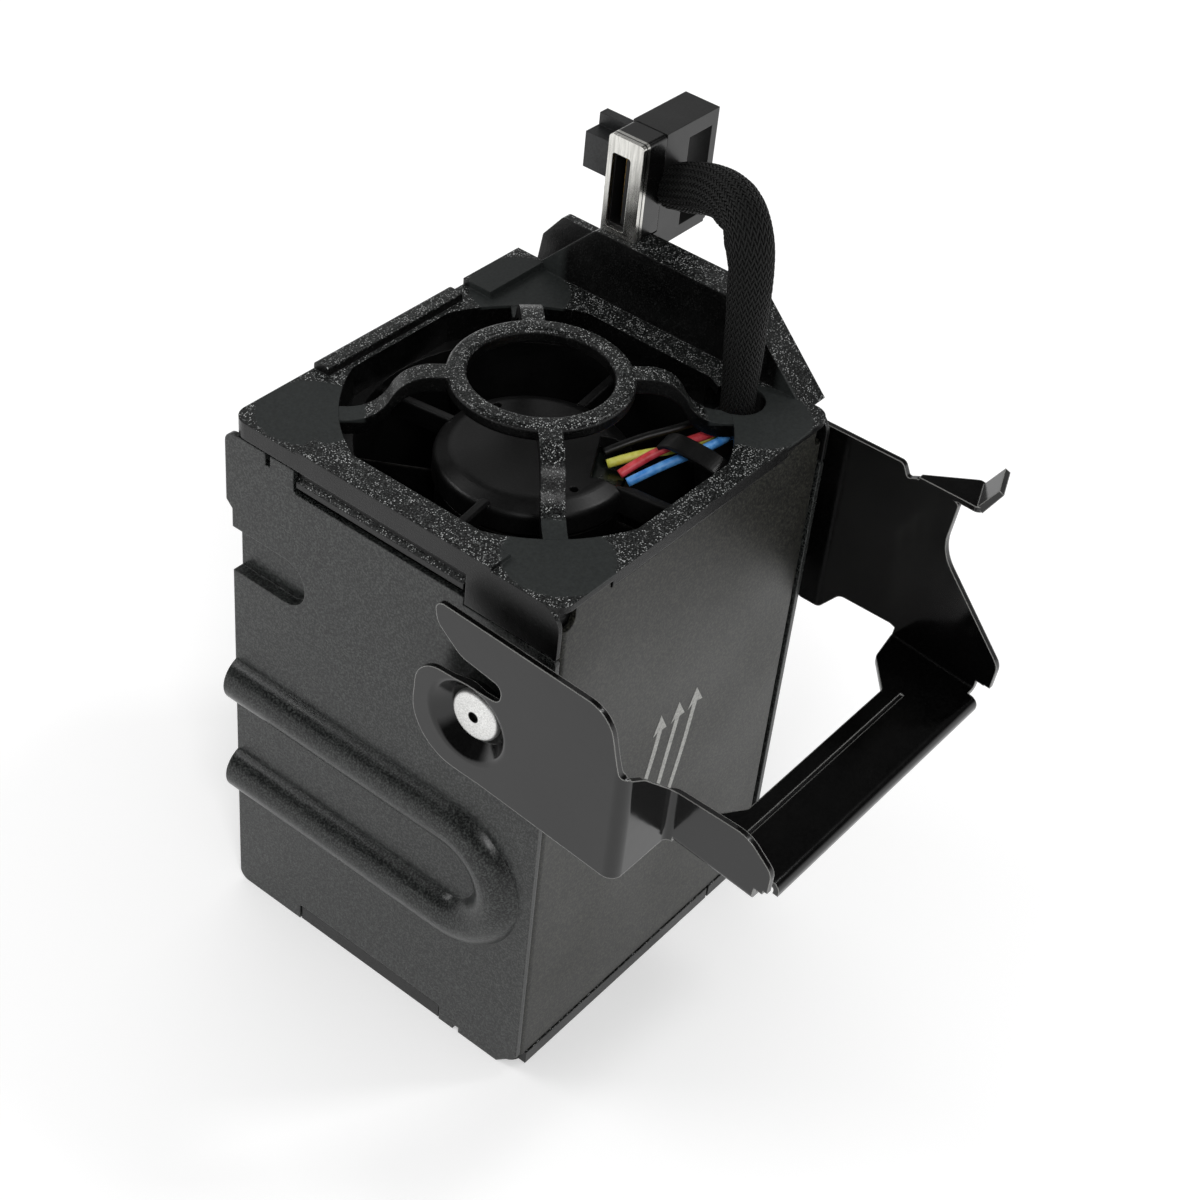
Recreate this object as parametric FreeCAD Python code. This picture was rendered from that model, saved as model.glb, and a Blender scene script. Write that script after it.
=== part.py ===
import FreeCAD, Part
import math
import os

from FreeCAD import Placement, Rotation, Vector

# Hot-swap server fan module, millimetres.
# The origin is the centre of the case's bottom face. +Z runs along the fan axis with the air,
# -Y is the front, where the handle and the air arrows are, and -X is the left side.

# --- case -------------------------------------------------------------------------------------
case_width = 68.4          # X, over the side panels
case_depth = 66.0          # Y
case_height = 103.8        # Z, to the top of the outlet frame
sheet = 1.0                # sheet metal of the case
panel_top = 100.4          # top edge of the side panels
shoulder_low = 85.6        # the panels' back edge steps out above this
shoulder_out = 1.3
cover_recess = 0.2         # front and back covers lie this far inside the panels' edges
shoulder_top = 102.4       # top of the front cover at its two ends
cover_top = 101.2          # and between them
corner_relief = 3.0        # cut out of the front cover's top corners
cover_foot = 3.0           # lower edge of the front cover
cover_bend = 1.5           # outside radius of the covers' bends
flange_depth = 11.0        # the covers' side flanges
ear_top = 94.6             # the panel is cut down to here in front of the latch window
window_front = -15.3       # latch window in the panel's top edge
window_back = 19.5
window_floor = 96.1
foot_slot_front = -15.7    # slot in the panel's bottom edge
foot_slot_back = 17.9
foot_slot_height = 3.5

# --- stiffening beads of the side panels ------------------------------------------------------
bead_height = 3.0
bead_width = 9.0
bead_axis = 38.5           # Z of the middle of the U
bead_turn = 10.5           # centreline radius of the turn
bead_front = -30.5         # foremost point of the U
pocket_depth = 2.0
pocket_floor = 73.0
pocket_height = 9.0
pocket_front = 17.0

# --- fans -------------------------------------------------------------------------------------
fan_size = 60.0
fan_length = 38.0
fan_corner = 4.0
fan_flange = 3.6
duct_radius = 28.7
inlet_flare = 1.6          # the duct widens by this at its inlet
flare_depth = 3.5
hole_pitch = 50.0
hole_diameter = 4.3
pin_clearance = 0.15
hub_radius = 15.6          # impeller hub
blade_count = 7
blade_tip_gap = 0.6
blade_low = 4.5            # blade edges above the fan's inlet face
blade_high = 30.5
base_radius = 16.2         # motor base
base_thickness = 2.2
strut_count = 4
strut_height = 5.0
strut_gap = 0.05           # the struts end this far from the duct's wall
cap_recess = 0.4           # the motor base lies this far under the frame's outlet face
shaft_diameter = 3.0
bearing_outer = 8.0
bearing_height = 3.5
bearing_clearance = 0.02
tube_wall = 1.0
stator_radius = 11.6
magnet_thickness = 1.4
yoke_thickness = 0.9
shoe_thickness = 1.5       # pole shoes of the stator
coil_half = 3.6            # half the width of a stator coil

# --- top and bottom mouldings -----------------------------------------------------------------
seat = 98.0                # underside of the top frame, on the upper fan
guard_top = 4.4            # top of the inlet guard, under the lower fan
skirt_low = 92.0
skirt_high = 7.4           # top of the guard's skirt
fit = 0.15                 # gap between the mouldings and the sheets around them
fan_clearance = 0.2
opening_radius = 31.0
opening_half_x = 28.2
opening_half_y = 28.9
tongue_half = 22.1         # half the width of the frame's tongue on the front cover
ring_outer = 14.8
ring_inner = 11.5
ring_top = 112.0
ring_height = 2.6
spoke_width = 3.7
spoke_height = 2.6

# --- connector wing ---------------------------------------------------------------------------
wing_top = 116.0
wing_out = 39.4            # X of its outer edge
wing_wall = 1.8
wing_low = 102.0
wing_front = -14.2         # ends of its level top
wing_back = 16.5
housing_front = 9.3        # Y faces of the connector housing
housing_back = 16.4
housing_top = 134.0
housing_low = 112.5
housing_end = 54.5
housing_wall = 1.6
body_end = 46.7
shield_face = 34.2
shield_back = 40.4
shield_sheet = 0.5
cavity_depth = 3.4
contact_count = 8

# --- cable ------------------------------------------------------------------------------------
sleeve_diameter = 7.8
sleeve_end = 101.6         # Z of the sleeve's cut end under the top frame
sleeve_route = [
    (43.3, 11.0, 123.4),
    (42.6, 3.0, 125.4),
    (39.3, -4.6, 129.4),
    (33.2, -12.2, 130.1),
    (28.4, -17.4, 124.0),
    (26.9, -19.0, 115.2),
    (26.6, -19.7, 107.4),
    (26.5, -19.8, 100.6),
]
lead_diameter = 1.5
lead_routes = {
    "lead_yellow": [
        (6.6, -9.6, 95.8),
        (10.9, -12.8, 98.0),
        (16.2, -15.9, 99.4),
        (21.4, -18.3, 100.0),
        (25.9, -19.2, 100.5),
    ],
    "lead_red": [
        (5.9, -12.7, 95.8),
        (11.0, -15.0, 98.7),
        (16.6, -18.2, 99.9),
        (21.6, -20.1, 100.2),
        (26.0, -20.9, 100.5),
    ],
    "lead_blue": [
        (5.1, -14.9, 95.8),
        (9.9, -18.0, 98.4),
        (15.0, -20.7, 99.7),
        (20.4, -21.9, 100.0),
        (25.6, -22.6, 100.2),
    ],
    "lead_black": [
        (8.4, -7.4, 95.9),
        (12.9, -10.6, 98.1),
        (17.6, -14.4, 99.5),
        (22.2, -16.5, 100.1),
        (26.6, -17.2, 100.5),
    ],
}

# --- handle -----------------------------------------------------------------------------------
pivot_y = -20.8
pivot_z = 77.4
arm_gap = 3.3              # between the case side and the arm's inner face
handle_sheet = 1.0
dish_radius = 7.8
dish_floor = 5.4
dish_clearance = 0.3       # between the dish's floor and the case side
rivet_head = 8.9
rivet_shank = 5.0
rivet_clearance = 0.05
jog_inset = 12.9           # the finger plate stands this far inside the left arm
jog_y = -50.4              # front face of the step between them
bend_radius = 2.2          # outside radius of the step's bends
fold_radius = 1.3          # outside radius of the folds at the bar's ends
bar_slope = 6.0            # degrees, the bar falls away from the case
bar_back = -50.1           # Y where the bar's fold lines start
bar_level = 65.4           # Z of the bar's top there
bar_front = -68.8
bar_lip = 2.2              # the bar's front edge is bent down this far
crease_y = -59.2           # pressed line along the bar
bar_edge = -56.2           # Y of the bar's back edge, behind it is the finger gap
plate_top = 74.6           # top edge of the finger plate

half_w = case_width / 2
half_d = case_depth / 2
inner_x = half_w - sheet
cover_face = half_d - cover_recess
inner_y = cover_face - sheet
arm_in = half_w + arm_gap
arm_out = arm_in + handle_sheet
spacer_low = guard_top + fan_length
upper_fan = seat - fan_length


# --- helpers ----------------------------------------------------------------------------------
def box(x0, x1, y0, y1, z0, z1):
    return Part.makeBox(x1 - x0, y1 - y0, z1 - z0, Vector(x0, y0, z0))


def post(radius, z0, z1, x=0.0, y=0.0):
    return Part.makeCylinder(radius, z1 - z0, Vector(x, y, z0))


def pin_x(radius, x0, x1, y, z):
    return Part.makeCylinder(radius, x1 - x0, Vector(x0, y, z), Vector(1, 0, 0))


def tube_z(outer, inner, z0, z1):
    return post(outer, z0, z1).cut(post(inner, z0 - 1, z1 + 1))


def fuse(shapes):
    """One solid from touching solids, without leftover seams."""
    return shapes[0].multiFuse(shapes[1:]).removeSplitter()


def rounded_wire(corners, to_space):
    """Closed outline through (u, v, radius) corners, with tangent arcs where the radius is set."""
    count = len(corners)
    ends = []
    for i in range(count):
        before = Vector(corners[i - 1][0], corners[i - 1][1], 0)
        here = Vector(corners[i][0], corners[i][1], 0)
        after = Vector(corners[(i + 1) % count][0], corners[(i + 1) % count][1], 0)
        radius = corners[i][2] if len(corners[i]) > 2 else 0
        if not radius:
            ends.append((here, None, here))
            continue
        back = (before - here).normalize()
        on = (after - here).normalize()
        half_turn = back.getAngle(on) / 2
        reach = radius / math.tan(half_turn)
        middle = here + (back + on).normalize() * (radius / math.sin(half_turn) - radius)
        ends.append((here + back * reach, middle, here + on * reach))
    edges = []
    for i in range(count):
        start, middle, end = ends[i]
        if middle is not None:
            edges.append(Part.Arc(to_space(start), to_space(middle), to_space(end)).toShape())
        following = ends[(i + 1) % count][0]
        if (following - end).Length > 1e-6:
            edges.append(Part.LineSegment(to_space(end), to_space(following)).toShape())
    return Part.Wire(edges)


def plate_x(corners, x0, x1):
    """Solid with a (y, z) outline between two X planes."""
    wire = rounded_wire(corners, lambda p: Vector(x0, p.x, p.y))
    return Part.Face(wire).extrude(Vector(x1 - x0, 0, 0))


def plate_y(corners, y0, y1):
    """Solid with an (x, z) outline between two Y planes."""
    wire = rounded_wire(corners, lambda p: Vector(p.x, y0, p.y))
    return Part.Face(wire).extrude(Vector(0, y1 - y0, 0))


def plate_z(corners, z0, z1):
    """Solid with an (x, y) outline between two Z planes."""
    wire = rounded_wire(corners, lambda p: Vector(p.x, p.y, z0))
    return Part.Face(wire).extrude(Vector(0, 0, z1 - z0))


def rounded_block(half_x, half_y, z0, z1, radius):
    corners = [(-half_x, -half_y, radius), (half_x, -half_y, radius)]
    corners += [(half_x, half_y, radius), (-half_x, half_y, radius)]
    return plate_z(corners, z0, z1)


def revolve_z(corners):
    """Ring with an (r, z) outline about the fan axis."""
    wire = rounded_wire(corners, lambda p: Vector(p.x, 0, p.y))
    return Part.Face(wire).revolve(Vector(0, 0, 0), Vector(0, 0, 1), 360)


def revolve_x(corners, y, z):
    """Ring with an (r, x) outline about the line along X at y, z."""
    wire = rounded_wire(corners, lambda p: Vector(p.y, y, z + p.x))
    return Part.Face(wire).revolve(Vector(0, y, z), Vector(1, 0, 0), 360)


def mirrored(shape):
    return shape.mirror(Vector(0, 0, 0), Vector(1, 0, 0))


def spun(shape, degrees):
    turned = shape.copy()
    turned.rotate(Vector(0, 0, 0), Vector(0, 0, 1), degrees)
    return turned


def at_corners(make):
    """One piece at each of a fan's four corner holes."""
    reach = hole_pitch / 2
    return [make(sx * reach, sy * reach) for sx in (-1, 1) for sy in (-1, 1)]


def around(shape, count, start=0.0):
    return [spun(shape, start + 360.0 * i / count) for i in range(count)]


def raised(shape, z):
    moved = shape.copy()
    moved.translate(Vector(0, 0, z))
    return moved


def cord(points, diameter):
    """Tube along straight runs joined by arcs, each arc as large as its two runs allow."""
    route = [Vector(*p) for p in points]
    edges = []
    radii = []
    start = route[0]
    for before, here, after in zip(route, route[1:], route[2:]):
        back = (before - here).normalize()
        on = (after - here).normalize()
        half_inner = back.getAngle(on) / 2
        reach = 0.45 * min((before - here).Length, (after - here).Length)
        radius = reach * math.tan(half_inner)
        first = here + back * reach
        last = here + on * reach
        middle = here + (back + on).normalize() * (radius / math.sin(half_inner) - radius)
        edges.append(Part.LineSegment(start, first).toShape())
        edges.append(Part.Arc(first, middle, last).toShape())
        radii.append(round(radius, 1))
        start = last
    edges.append(Part.LineSegment(start, route[-1]).toShape())
    path = Part.Wire(edges)
    ring = Part.Wire(Part.makeCircle(diameter / 2, route[0], route[1] - route[0]))
    tube = path.makePipeShell([ring], True, False)
    expected = path.Length * math.pi * diameter ** 2 / 4
    share = tube.Volume / expected
    print("  cord length %.1f, radii %s, volume %.3f of expected" % (path.Length, radii, share))
    return tube


def save(name, shape):
    solids = shape if isinstance(shape, list) else [shape]
    pieces = []
    for item in solids:
        pieces += item.Solids
    whole = pieces[0] if len(pieces) == 1 else Part.makeCompound(pieces)
    good = all(piece.isValid() for piece in pieces)
    volume = sum(piece.Volume for piece in pieces)
    verdict = "" if good else "NOT VALID"
    print("%-24s %2d solids %10.1f mm3 %s" % (name, len(pieces), volume, verdict))
    whole.exportStep("parts/%s.step" % name)


# --- case sheets ------------------------------------------------------------------------------
def bead_turn_centre():
    return bead_front + bead_width / 2 + bead_turn


def bead_run(radius, centre_x):
    """Round bar of a radius along the whole U of the bead: two legs and the turn."""
    y_turn = bead_turn_centre()
    pieces = []
    for side in (-1, 1):
        z = bead_axis + side * bead_turn
        base = Vector(centre_x, y_turn, z)
        pieces.append(Part.makeCylinder(radius, half_d - y_turn, base, Vector(0, 1, 0)))
    ring = Part.makeTorus(bead_turn, radius, Vector(centre_x, y_turn, bead_axis), Vector(1, 0, 0))
    reach = bead_turn + radius + 1
    low, high = bead_axis - reach, bead_axis + reach
    front = box(centre_x - radius, centre_x + radius, y_turn - reach, y_turn, low, high)
    pieces.append(ring.common(front))
    return pieces


def side_panel():
    """Left panel: flat sheet with a raised U bead, a sunk pocket and punched edges."""
    back_edge = half_d + shoulder_out
    top_back = [(half_d, shoulder_low), (back_edge, shoulder_low + shoulder_out), (back_edge, panel_top, 2.0)]
    nick = [(25.5, panel_top), (25.5, 98.3), (24.4, 98.3), (24.4, panel_top)]
    window = [(window_back, panel_top), (window_back, window_floor, 0.8), (window_front, window_floor)]
    front = [(window_front, ear_top), (-half_d, ear_top, 1.0), (-half_d, 4.0), (-28.9, 0)]
    foot = [(-20.2, 0), (-20.2, 1.2), (-18.9, 1.2), (-18.9, 0), (foot_slot_front, 0)]
    slot = [(foot_slot_front, foot_slot_height, 0.6), (foot_slot_back, foot_slot_height, 0.6)]
    back = [(foot_slot_back, 0), (half_d, 0, 2.0)]
    plate = plate_x(top_back + nick + window + front + foot + slot + back, -half_w, -inner_x)

    crown = (bead_width ** 2 / 4 + bead_height ** 2) / (2 * bead_height)
    centre_x = -half_w - bead_height + crown
    outside = box(-half_w - 20, -half_w + 0.5, -half_d - 1, half_d + 1, 0, case_height)
    shell = [bar.common(outside) for bar in bead_run(crown, centre_x)]
    plate = fuse([plate] + shell)
    for hollow in bead_run(crown - sheet, centre_x):
        plate = plate.cut(hollow)

    mid = pocket_floor + pocket_height / 2
    plate = fuse([plate, pocket_block(sheet, -half_w + 0.2, -half_w + pocket_depth + sheet, mid)])
    plate = plate.cut(pocket_block(0, -half_w - 1, -half_w + pocket_depth, mid))

    bore = pin_x(rivet_shank / 2, -half_w - 1, -inner_x + 1, pivot_y, pivot_z)
    return plate.cut(bore)


def pocket_block(grow, x0, x1, mid):
    """The pocket's volume, closed by an arc in front and open through the back edge."""
    half = pocket_height / 2 + grow
    centre = pocket_front + pocket_height / 2
    end = half_d if grow else half_d + 1
    arc = pin_x(half, x0, x1, centre, mid)
    return fuse([arc, box(x0, x1, centre, end, mid - half, mid + half)])


def cover(top, foot):
    """Flat sheet with two flanges bent back inside the side panels."""
    face = -cover_face
    r_in = cover_bend - sheet
    outer = [(-inner_x, face, cover_bend), (inner_x, face, cover_bend)]
    outer += [(inner_x, face + flange_depth), (-inner_x, face + flange_depth)]
    inner = [(-inner_x + sheet, -inner_y, r_in), (inner_x - sheet, -inner_y, r_in)]
    inner += [(inner_x - sheet, face + flange_depth + 1), (-inner_x + sheet, face + flange_depth + 1)]
    channel = plate_z(outer, foot, top).cut(plate_z(inner, foot - 1, top + 1))
    y0 = face + cover_bend
    y1 = face + flange_depth + 1
    for z0, z1 in ((skirt_low - 0.5, top + 1), (foot - 1, skirt_high + 0.5)):
        channel = channel.cut(box(-inner_x - 1, inner_x + 1, y0, y1, z0, z1))
    return channel


def front_cover():
    """Arrow-side cover: its top edge dips under the frame's tongue between two shoulders."""
    shape = cover(shoulder_top, cover_foot)
    half = tongue_half + 0.3
    tongue = [(-half, case_height), (-half, cover_top, 0.4), (half, cover_top, 0.4), (half, case_height)]
    shape = shape.cut(plate_y(tongue, -half_d - 1, -inner_y + 1))
    edge = inner_x - corner_relief
    relief = [(edge, case_height), (edge, 98.8, 1.8), (half_w, 98.8), (half_w, case_height)]
    relief = plate_y(relief, -half_d - 1, -inner_y + 1)
    shape = shape.cut(relief).cut(mirrored(relief))
    swing = [(pivot_y - 6.5, pivot_z - 6.5), (pivot_y + 6.5, pivot_z - 6.5)]
    swing += [(pivot_y + 6.5, pivot_z + 6.5), (pivot_y - 6.5, pivot_z + 6.5)]
    return shape.cut(plate_x(swing, -half_w, half_w))


def back_cover():
    shape = cover(panel_top, 0.0).mirror(Vector(0, 0, 0), Vector(0, 1, 0))
    clear = pocket_depth + sheet
    low = pocket_floor - sheet - 0.6
    high = pocket_floor + pocket_height + sheet + 0.6
    for side in (-1, 1):
        x0, x1 = sorted((side * (half_w - clear - 0.2), side * half_w))
        shape = shape.cut(box(x0, x1, pocket_front - 4, half_d + 1, low, high))
    return shape


# --- top frame --------------------------------------------------------------------------------
def opening(z0, z1):
    """Air opening: round at the corners, flat at the four sides."""
    flats = box(-opening_half_x, opening_half_x, -opening_half_y, opening_half_y, z0, z1)
    return post(opening_radius, z0, z1).common(flats)


def level_spoke(z_high):
    """Straight arm from the ring to the corner along +X."""
    half = spoke_width / 2
    return box(ring_outer - 1.2, opening_radius + 1.5, -half, half, z_high - spoke_height, z_high)


def dropped_spoke(z_high, z_low):
    """Arm from the ring to the corner along +X: level, falling in two equal arcs, level again."""
    r0 = ring_outer + 2.0
    r1 = opening_radius - 1.5
    run = r1 - r0
    drop = z_high - z_low
    bend = (run ** 2 + drop ** 2) / (4 * drop)
    half_angle = math.asin(run / 2 / bend) / 2
    across = bend * math.sin(half_angle)
    down = bend * (1 - math.cos(half_angle))
    start = Vector(ring_outer - 1.2, 0, z_high)
    knee = Vector(r0, 0, z_high)
    upper = Vector(r0 + across, 0, z_high - down)
    centre = Vector((r0 + r1) / 2, 0, (z_high + z_low) / 2)
    lower = Vector(r1 - across, 0, z_low + down)
    foot = Vector(r1, 0, z_low)
    end = Vector(opening_radius + 1.5, 0, z_low)
    thick = Vector(0, 0, -spoke_height)
    edges = []
    for shift in (Vector(0, 0, 0), thick):
        edges.append(Part.LineSegment(start + shift, knee + shift).toShape())
        edges.append(Part.Arc(knee + shift, upper + shift, centre + shift).toShape())
        edges.append(Part.Arc(centre + shift, lower + shift, foot + shift).toShape())
        edges.append(Part.LineSegment(foot + shift, end + shift).toShape())
    edges.append(Part.LineSegment(start, start + thick).toShape())
    edges.append(Part.LineSegment(end, end + thick).toShape())
    face = Part.Face(Part.Wire(Part.__sortEdges__(edges)))
    face.translate(Vector(0, -spoke_width / 2, 0))
    return face.extrude(Vector(0, spoke_width, 0))


def grille(z_top, arm):
    """Ring over the motor with four spokes to the corners."""
    low = z_top - ring_height
    ring = [(ring_inner, low, 0.5), (ring_outer, low, 0.5)]
    ring += [(ring_outer, z_top, 0.9), (ring_inner, z_top, 0.9)]
    return [revolve_z(ring)] + around(arm, 4, 45.0)


def corner_pins(z0, z1):
    """Pins that locate a fan by its four corner holes."""
    radius = hole_diameter / 2 - pin_clearance
    return at_corners(lambda x, y: post(radius, z0, z1, x, y))


def latch_ridge():
    """Snap ridge that shows through the panel's window, with the groove under it."""
    margin = 0.35
    y0 = window_front + margin
    y1 = window_back - margin
    face = -half_w + 0.25
    profile = [(-half_w + 3.0, 97.2), (face, 97.2), (face, 98.3, 0.2), (-half_w + 1.3, 98.9)]
    profile += [(-half_w + 1.3, 100.8), (-half_w + 3.0, 100.8)]
    return plate_y(profile, y0, y1)


def corner_ear():
    """Flush black corner in front of the window, rounded at its upper front."""
    outline = [(window_front - 0.2, ear_top + 0.3), (window_front - 0.2, case_height)]
    outline += [(-half_d, case_height, 4.0), (-half_d, ear_top + 0.3)]
    ear = plate_x(outline, -half_w, -inner_x + 1.2)
    bend = -cover_face + cover_bend + fit
    return ear.cut(box(-inner_x - fit, 0, -half_d - 1, bend, 0, case_height + 1))


def wing():
    """Visor over the right edge: a trapezoid wall with a level top and two 45 degree slopes."""
    rise = wing_top - wing_low
    outline = [(wing_front - rise, wing_low), (wing_front, wing_top, 1.5), (wing_back, wing_top, 1.5)]
    outline += [(wing_back + rise, wing_low)]
    t = wing_wall
    lean = t * math.tan(math.radians(22.5))
    hollow = [(wing_front - rise + t * 1.414, wing_low - 1), (wing_front + lean, wing_top - t, 0.8)]
    hollow += [(wing_back - lean, wing_top - t, 0.8), (wing_back + rise - t * 1.414, wing_low - 1)]
    shape = plate_x(outline, inner_x, wing_out)
    shape = shape.cut(plate_x(hollow, inner_x + t, wing_out + 1))
    ribs = []
    for y in (-8.0, 1.0, 10.0):
        rib = [(inner_x + 0.5, wing_low + 1.8), (inner_x + 0.5, wing_top - 0.5)]
        rib += [(wing_out - 0.8, wing_top - 0.5)]
        ribs.append(plate_y(rib, y - 0.7, y + 0.7))
    ear = [(20.0, wing_top - 7.0), (20.0, 112.2, 0.5), (26.8, 112.2, 1.0), (30.8, 107.2, 1.0)]
    ear += [(31.6, wing_low), (wing_back + rise - 2.2, wing_low)]
    side_plate = plate_x(ear, wing_out - t, wing_out)
    return [shape, side_plate] + ribs


def skirt(z0, z1):
    """Block that fills the case between its sheets, with corners that clear their bends."""
    return rounded_block(inner_x - fit, inner_y - fit, z0, z1, cover_bend + 1.0)


def edge_trims():
    """Raised strips of the deck: along the left and back edges and on the right back corner."""
    z = case_height
    inside = -half_w + 4.4
    left = [(-half_w, z - 0.5), (-half_w, z + 0.8, 0.4), (inside, z + 0.8, 0.4), (inside, z - 0.5)]
    back = [(half_d - 3.4, z - 0.5), (half_d - 3.0, z + 1.4, 0.5)]
    back += [(half_d, z + 1.4, 0.7), (half_d, z - 0.5)]
    corner = box(19.6, half_w - 0.4, 27.0, half_d, z - 0.5, z + 1.2)
    return [plate_y(left, -20.0, 19.0), plate_x(back, -16.0, 15.8), corner]


def top_frame():
    """Outlet moulding: grille, skirt around the upper fan, snap latches and connector wing."""
    deck_low = panel_top + 0.3
    deck = rounded_block(half_w, half_d, deck_low, case_height, 3.0)
    pieces = [deck, skirt(skirt_low, deck_low + 0.5), latch_ridge(), corner_ear()]
    pieces += [mirrored(latch_ridge()), mirrored(corner_ear())]
    body = fuse(pieces + edge_trims() + wing())

    x = inner_x + fit
    body = body.cut(box(-x, x, -half_d - 1, -inner_y + fit, skirt_low - 1, shoulder_top + fit))
    tongue = box(-tongue_half, tongue_half, -half_d, -inner_y + 0.5, cover_top + 0.3, case_height)
    body = fuse([body, tongue])
    body = body.cut(opening(seat - 0.01, case_height + 5))
    pocket = fan_size / 2 + fan_clearance
    body = body.cut(box(-pocket, pocket, -pocket, pocket, skirt_low - 1, seat))
    finger_gap = box(-24, 24, inner_y - 0.5, half_d, skirt_low - 1, skirt_low + 3)
    body = body.cut(finger_gap).cut(finger_gap.mirror(Vector(0, 0, 0), Vector(0, 1, 0)))
    cable_bay = [(10.0, -26.0, 3.0), (30.0, -26.0, 3.0), (30.0, -12.0, 3.0), (10.0, -12.0, 3.0)]
    body = body.cut(plate_z(cable_bay, seat - 1, case_height - 1.6))
    arm = dropped_spoke(ring_top - 0.1, case_height - 0.1)
    body = fuse([body] + grille(ring_top, arm))
    foot_x, foot_y = sleeve_route[-1][0], sleeve_route[-1][1]
    body = body.cut(post(sleeve_diameter / 2 + 0.5, seat, case_height + 3, foot_x, foot_y))
    return fuse([body] + corner_pins(seat - 3.0, seat + 0.5))


def bottom_guard():
    """Inlet moulding: hub disc and spokes, feet in the side slots, skirt around the lower fan."""
    lip = box(-31.3, 31.3, -half_d, -inner_y + 0.5, 0, cover_foot - 0.3)
    pieces = [skirt(0, skirt_high), lip]
    for side in (-1, 1):
        x0, x1 = sorted((side * (inner_x - 1), side * (half_w - 0.2)))
        pieces.append(box(x0, x1, foot_slot_front + 0.3, foot_slot_back - 0.3, 0, foot_slot_height - 0.3))
    body = fuse(pieces)
    pocket = fan_size / 2 + fan_clearance
    body = body.cut(box(-pocket, pocket, -pocket, pocket, guard_top, skirt_high + 1))
    body = body.cut(opening(-1, guard_top + 1))
    body = body.cut(box(20.5, 21.1, -half_d - 1, -inner_y - 0.1, -1, cover_foot))
    arms = around(level_spoke(spoke_height), 4, 45.0)
    hub = post(ring_outer, 0, spoke_height)
    return fuse([body, hub] + arms + corner_pins(guard_top - 0.5, guard_top + 3.0))


# --- fan --------------------------------------------------------------------------------------
def fan_frame():
    """Round duct between two square flanges, with a flared inlet and four corner holes."""
    half = fan_size / 2
    top = fan_length
    flanges = [rounded_block(half, half, z, z + fan_flange, fan_corner) for z in (0, top - fan_flange)]
    body = fuse([post(half, 0, top)] + flanges)
    flare = duct_radius + inlet_flare
    throat = [(0, -1), (flare, -1), (flare, 0), (duct_radius, flare_depth)]
    throat += [(duct_radius, top + 1), (0, top + 1)]
    body = body.cut(revolve_z(throat))
    for hole in at_corners(lambda x, y: post(hole_diameter / 2, -1, top + 1, x, y)):
        body = body.cut(hole)
    return body


def motor_base():
    """Domed cap over the motor, on four leaning struts that end at the duct's wall."""
    z1 = fan_length - cap_recess
    under = z1 - base_thickness
    wall = base_radius - 1.2
    rim = z1 - 5.2
    cap = [(0, under), (wall, under), (wall, rim), (base_radius, rim), (base_radius, z1 - 1.6, 1.2)]
    cap += [(base_radius - 3.0, z1, 3.0), (0, z1)]
    bore = bearing_outer / 2 + tube_wall
    collar = tube_z(bore + 1.2, bore, under - 3.0, under + 0.5)
    low = z1 - strut_height
    high = z1 - 0.8
    leaning = [(-0.9, low), (0.9, low), (1.6, high, 0.5), (-0.2, high, 0.5)]
    strut = plate_x(leaning, base_radius - 1.0, duct_radius + 1)
    frame = fuse([revolve_z(cap), collar] + around(strut, strut_count, 8.0))
    frame = frame.common(post(duct_radius - strut_gap, 0, fan_length))
    for angle in (70.0, 250.0):
        frame = frame.cut(spun(post(0.7, under - 1, z1 + 1, 12.2), angle))
    notch = box(base_radius - 6.5, base_radius + 1, -5.6, 5.6, z1 - 3.4, z1 + 1)
    return frame.cut(spun(notch, -60.0))


def blade_section(radius, sweep, camber, thickness):
    """Blade outline on the plane at a radius: two arcs from the inlet edge to the outlet edge."""
    low = Vector(radius, -sweep / 2, blade_low)
    high = Vector(radius, sweep / 2, blade_high)
    along = (high - low).normalize()
    normal = Vector(0, along.z, -along.y)
    centre = (low + high) * 0.5
    bulge = centre + normal * camber
    half = normal * (thickness / 2)
    edges = [
        Part.Arc(low, bulge - half, high).toShape(),
        Part.Arc(high, bulge + half, low).toShape(),
    ]
    return Part.Wire(edges)


def impeller():
    """Hub cup with twisted blades, turned about the fan axis."""
    z0 = 2.0
    z1 = fan_length - 6.6
    inner = hub_radius - 1.3
    cup = [(0, z0), (hub_radius - 2.5, z0), (hub_radius, z0 + 3.0, 2.2), (hub_radius, z1)]
    cup += [(inner, z1), (inner, z0 + 2.2), (0, z0 + 2.2)]
    hub = revolve_z(cup)
    sections = [
        blade_section(hub_radius - 0.7, 11.0, 2.2, 1.9),
        blade_section((hub_radius + duct_radius) / 2, 16.0, 2.8, 1.5),
        blade_section(duct_radius + 0.5, 20.5, 3.2, 1.1),
    ]
    blade = Part.makeLoft(sections, True, False)
    annulus = tube_z(duct_radius - blade_tip_gap, hub_radius - 0.6, blade_low - 2, blade_high + 2)
    blade = blade.common(annulus)
    bore = post(shaft_diameter / 2, -1, z0 + 3)
    return fuse([hub] + around(blade, blade_count)).cut(bore)


def yoke():
    outer = hub_radius - 1.3
    inner = outer - yoke_thickness
    z0 = 4.2
    z1 = fan_length - 6.8
    cup = [(shaft_diameter / 2, z0), (outer, z0), (outer, z1), (inner, z1), (inner, z0 + yoke_thickness)]
    cup += [(shaft_diameter / 2, z0 + yoke_thickness)]
    return revolve_z(cup)


def magnet():
    outer = hub_radius - 1.3 - yoke_thickness
    return tube_z(outer, outer - magnet_thickness, 9.0, fan_length - 8.5)


def shaft():
    return post(shaft_diameter / 2, 2.0, fan_length - 3.4)


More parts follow.
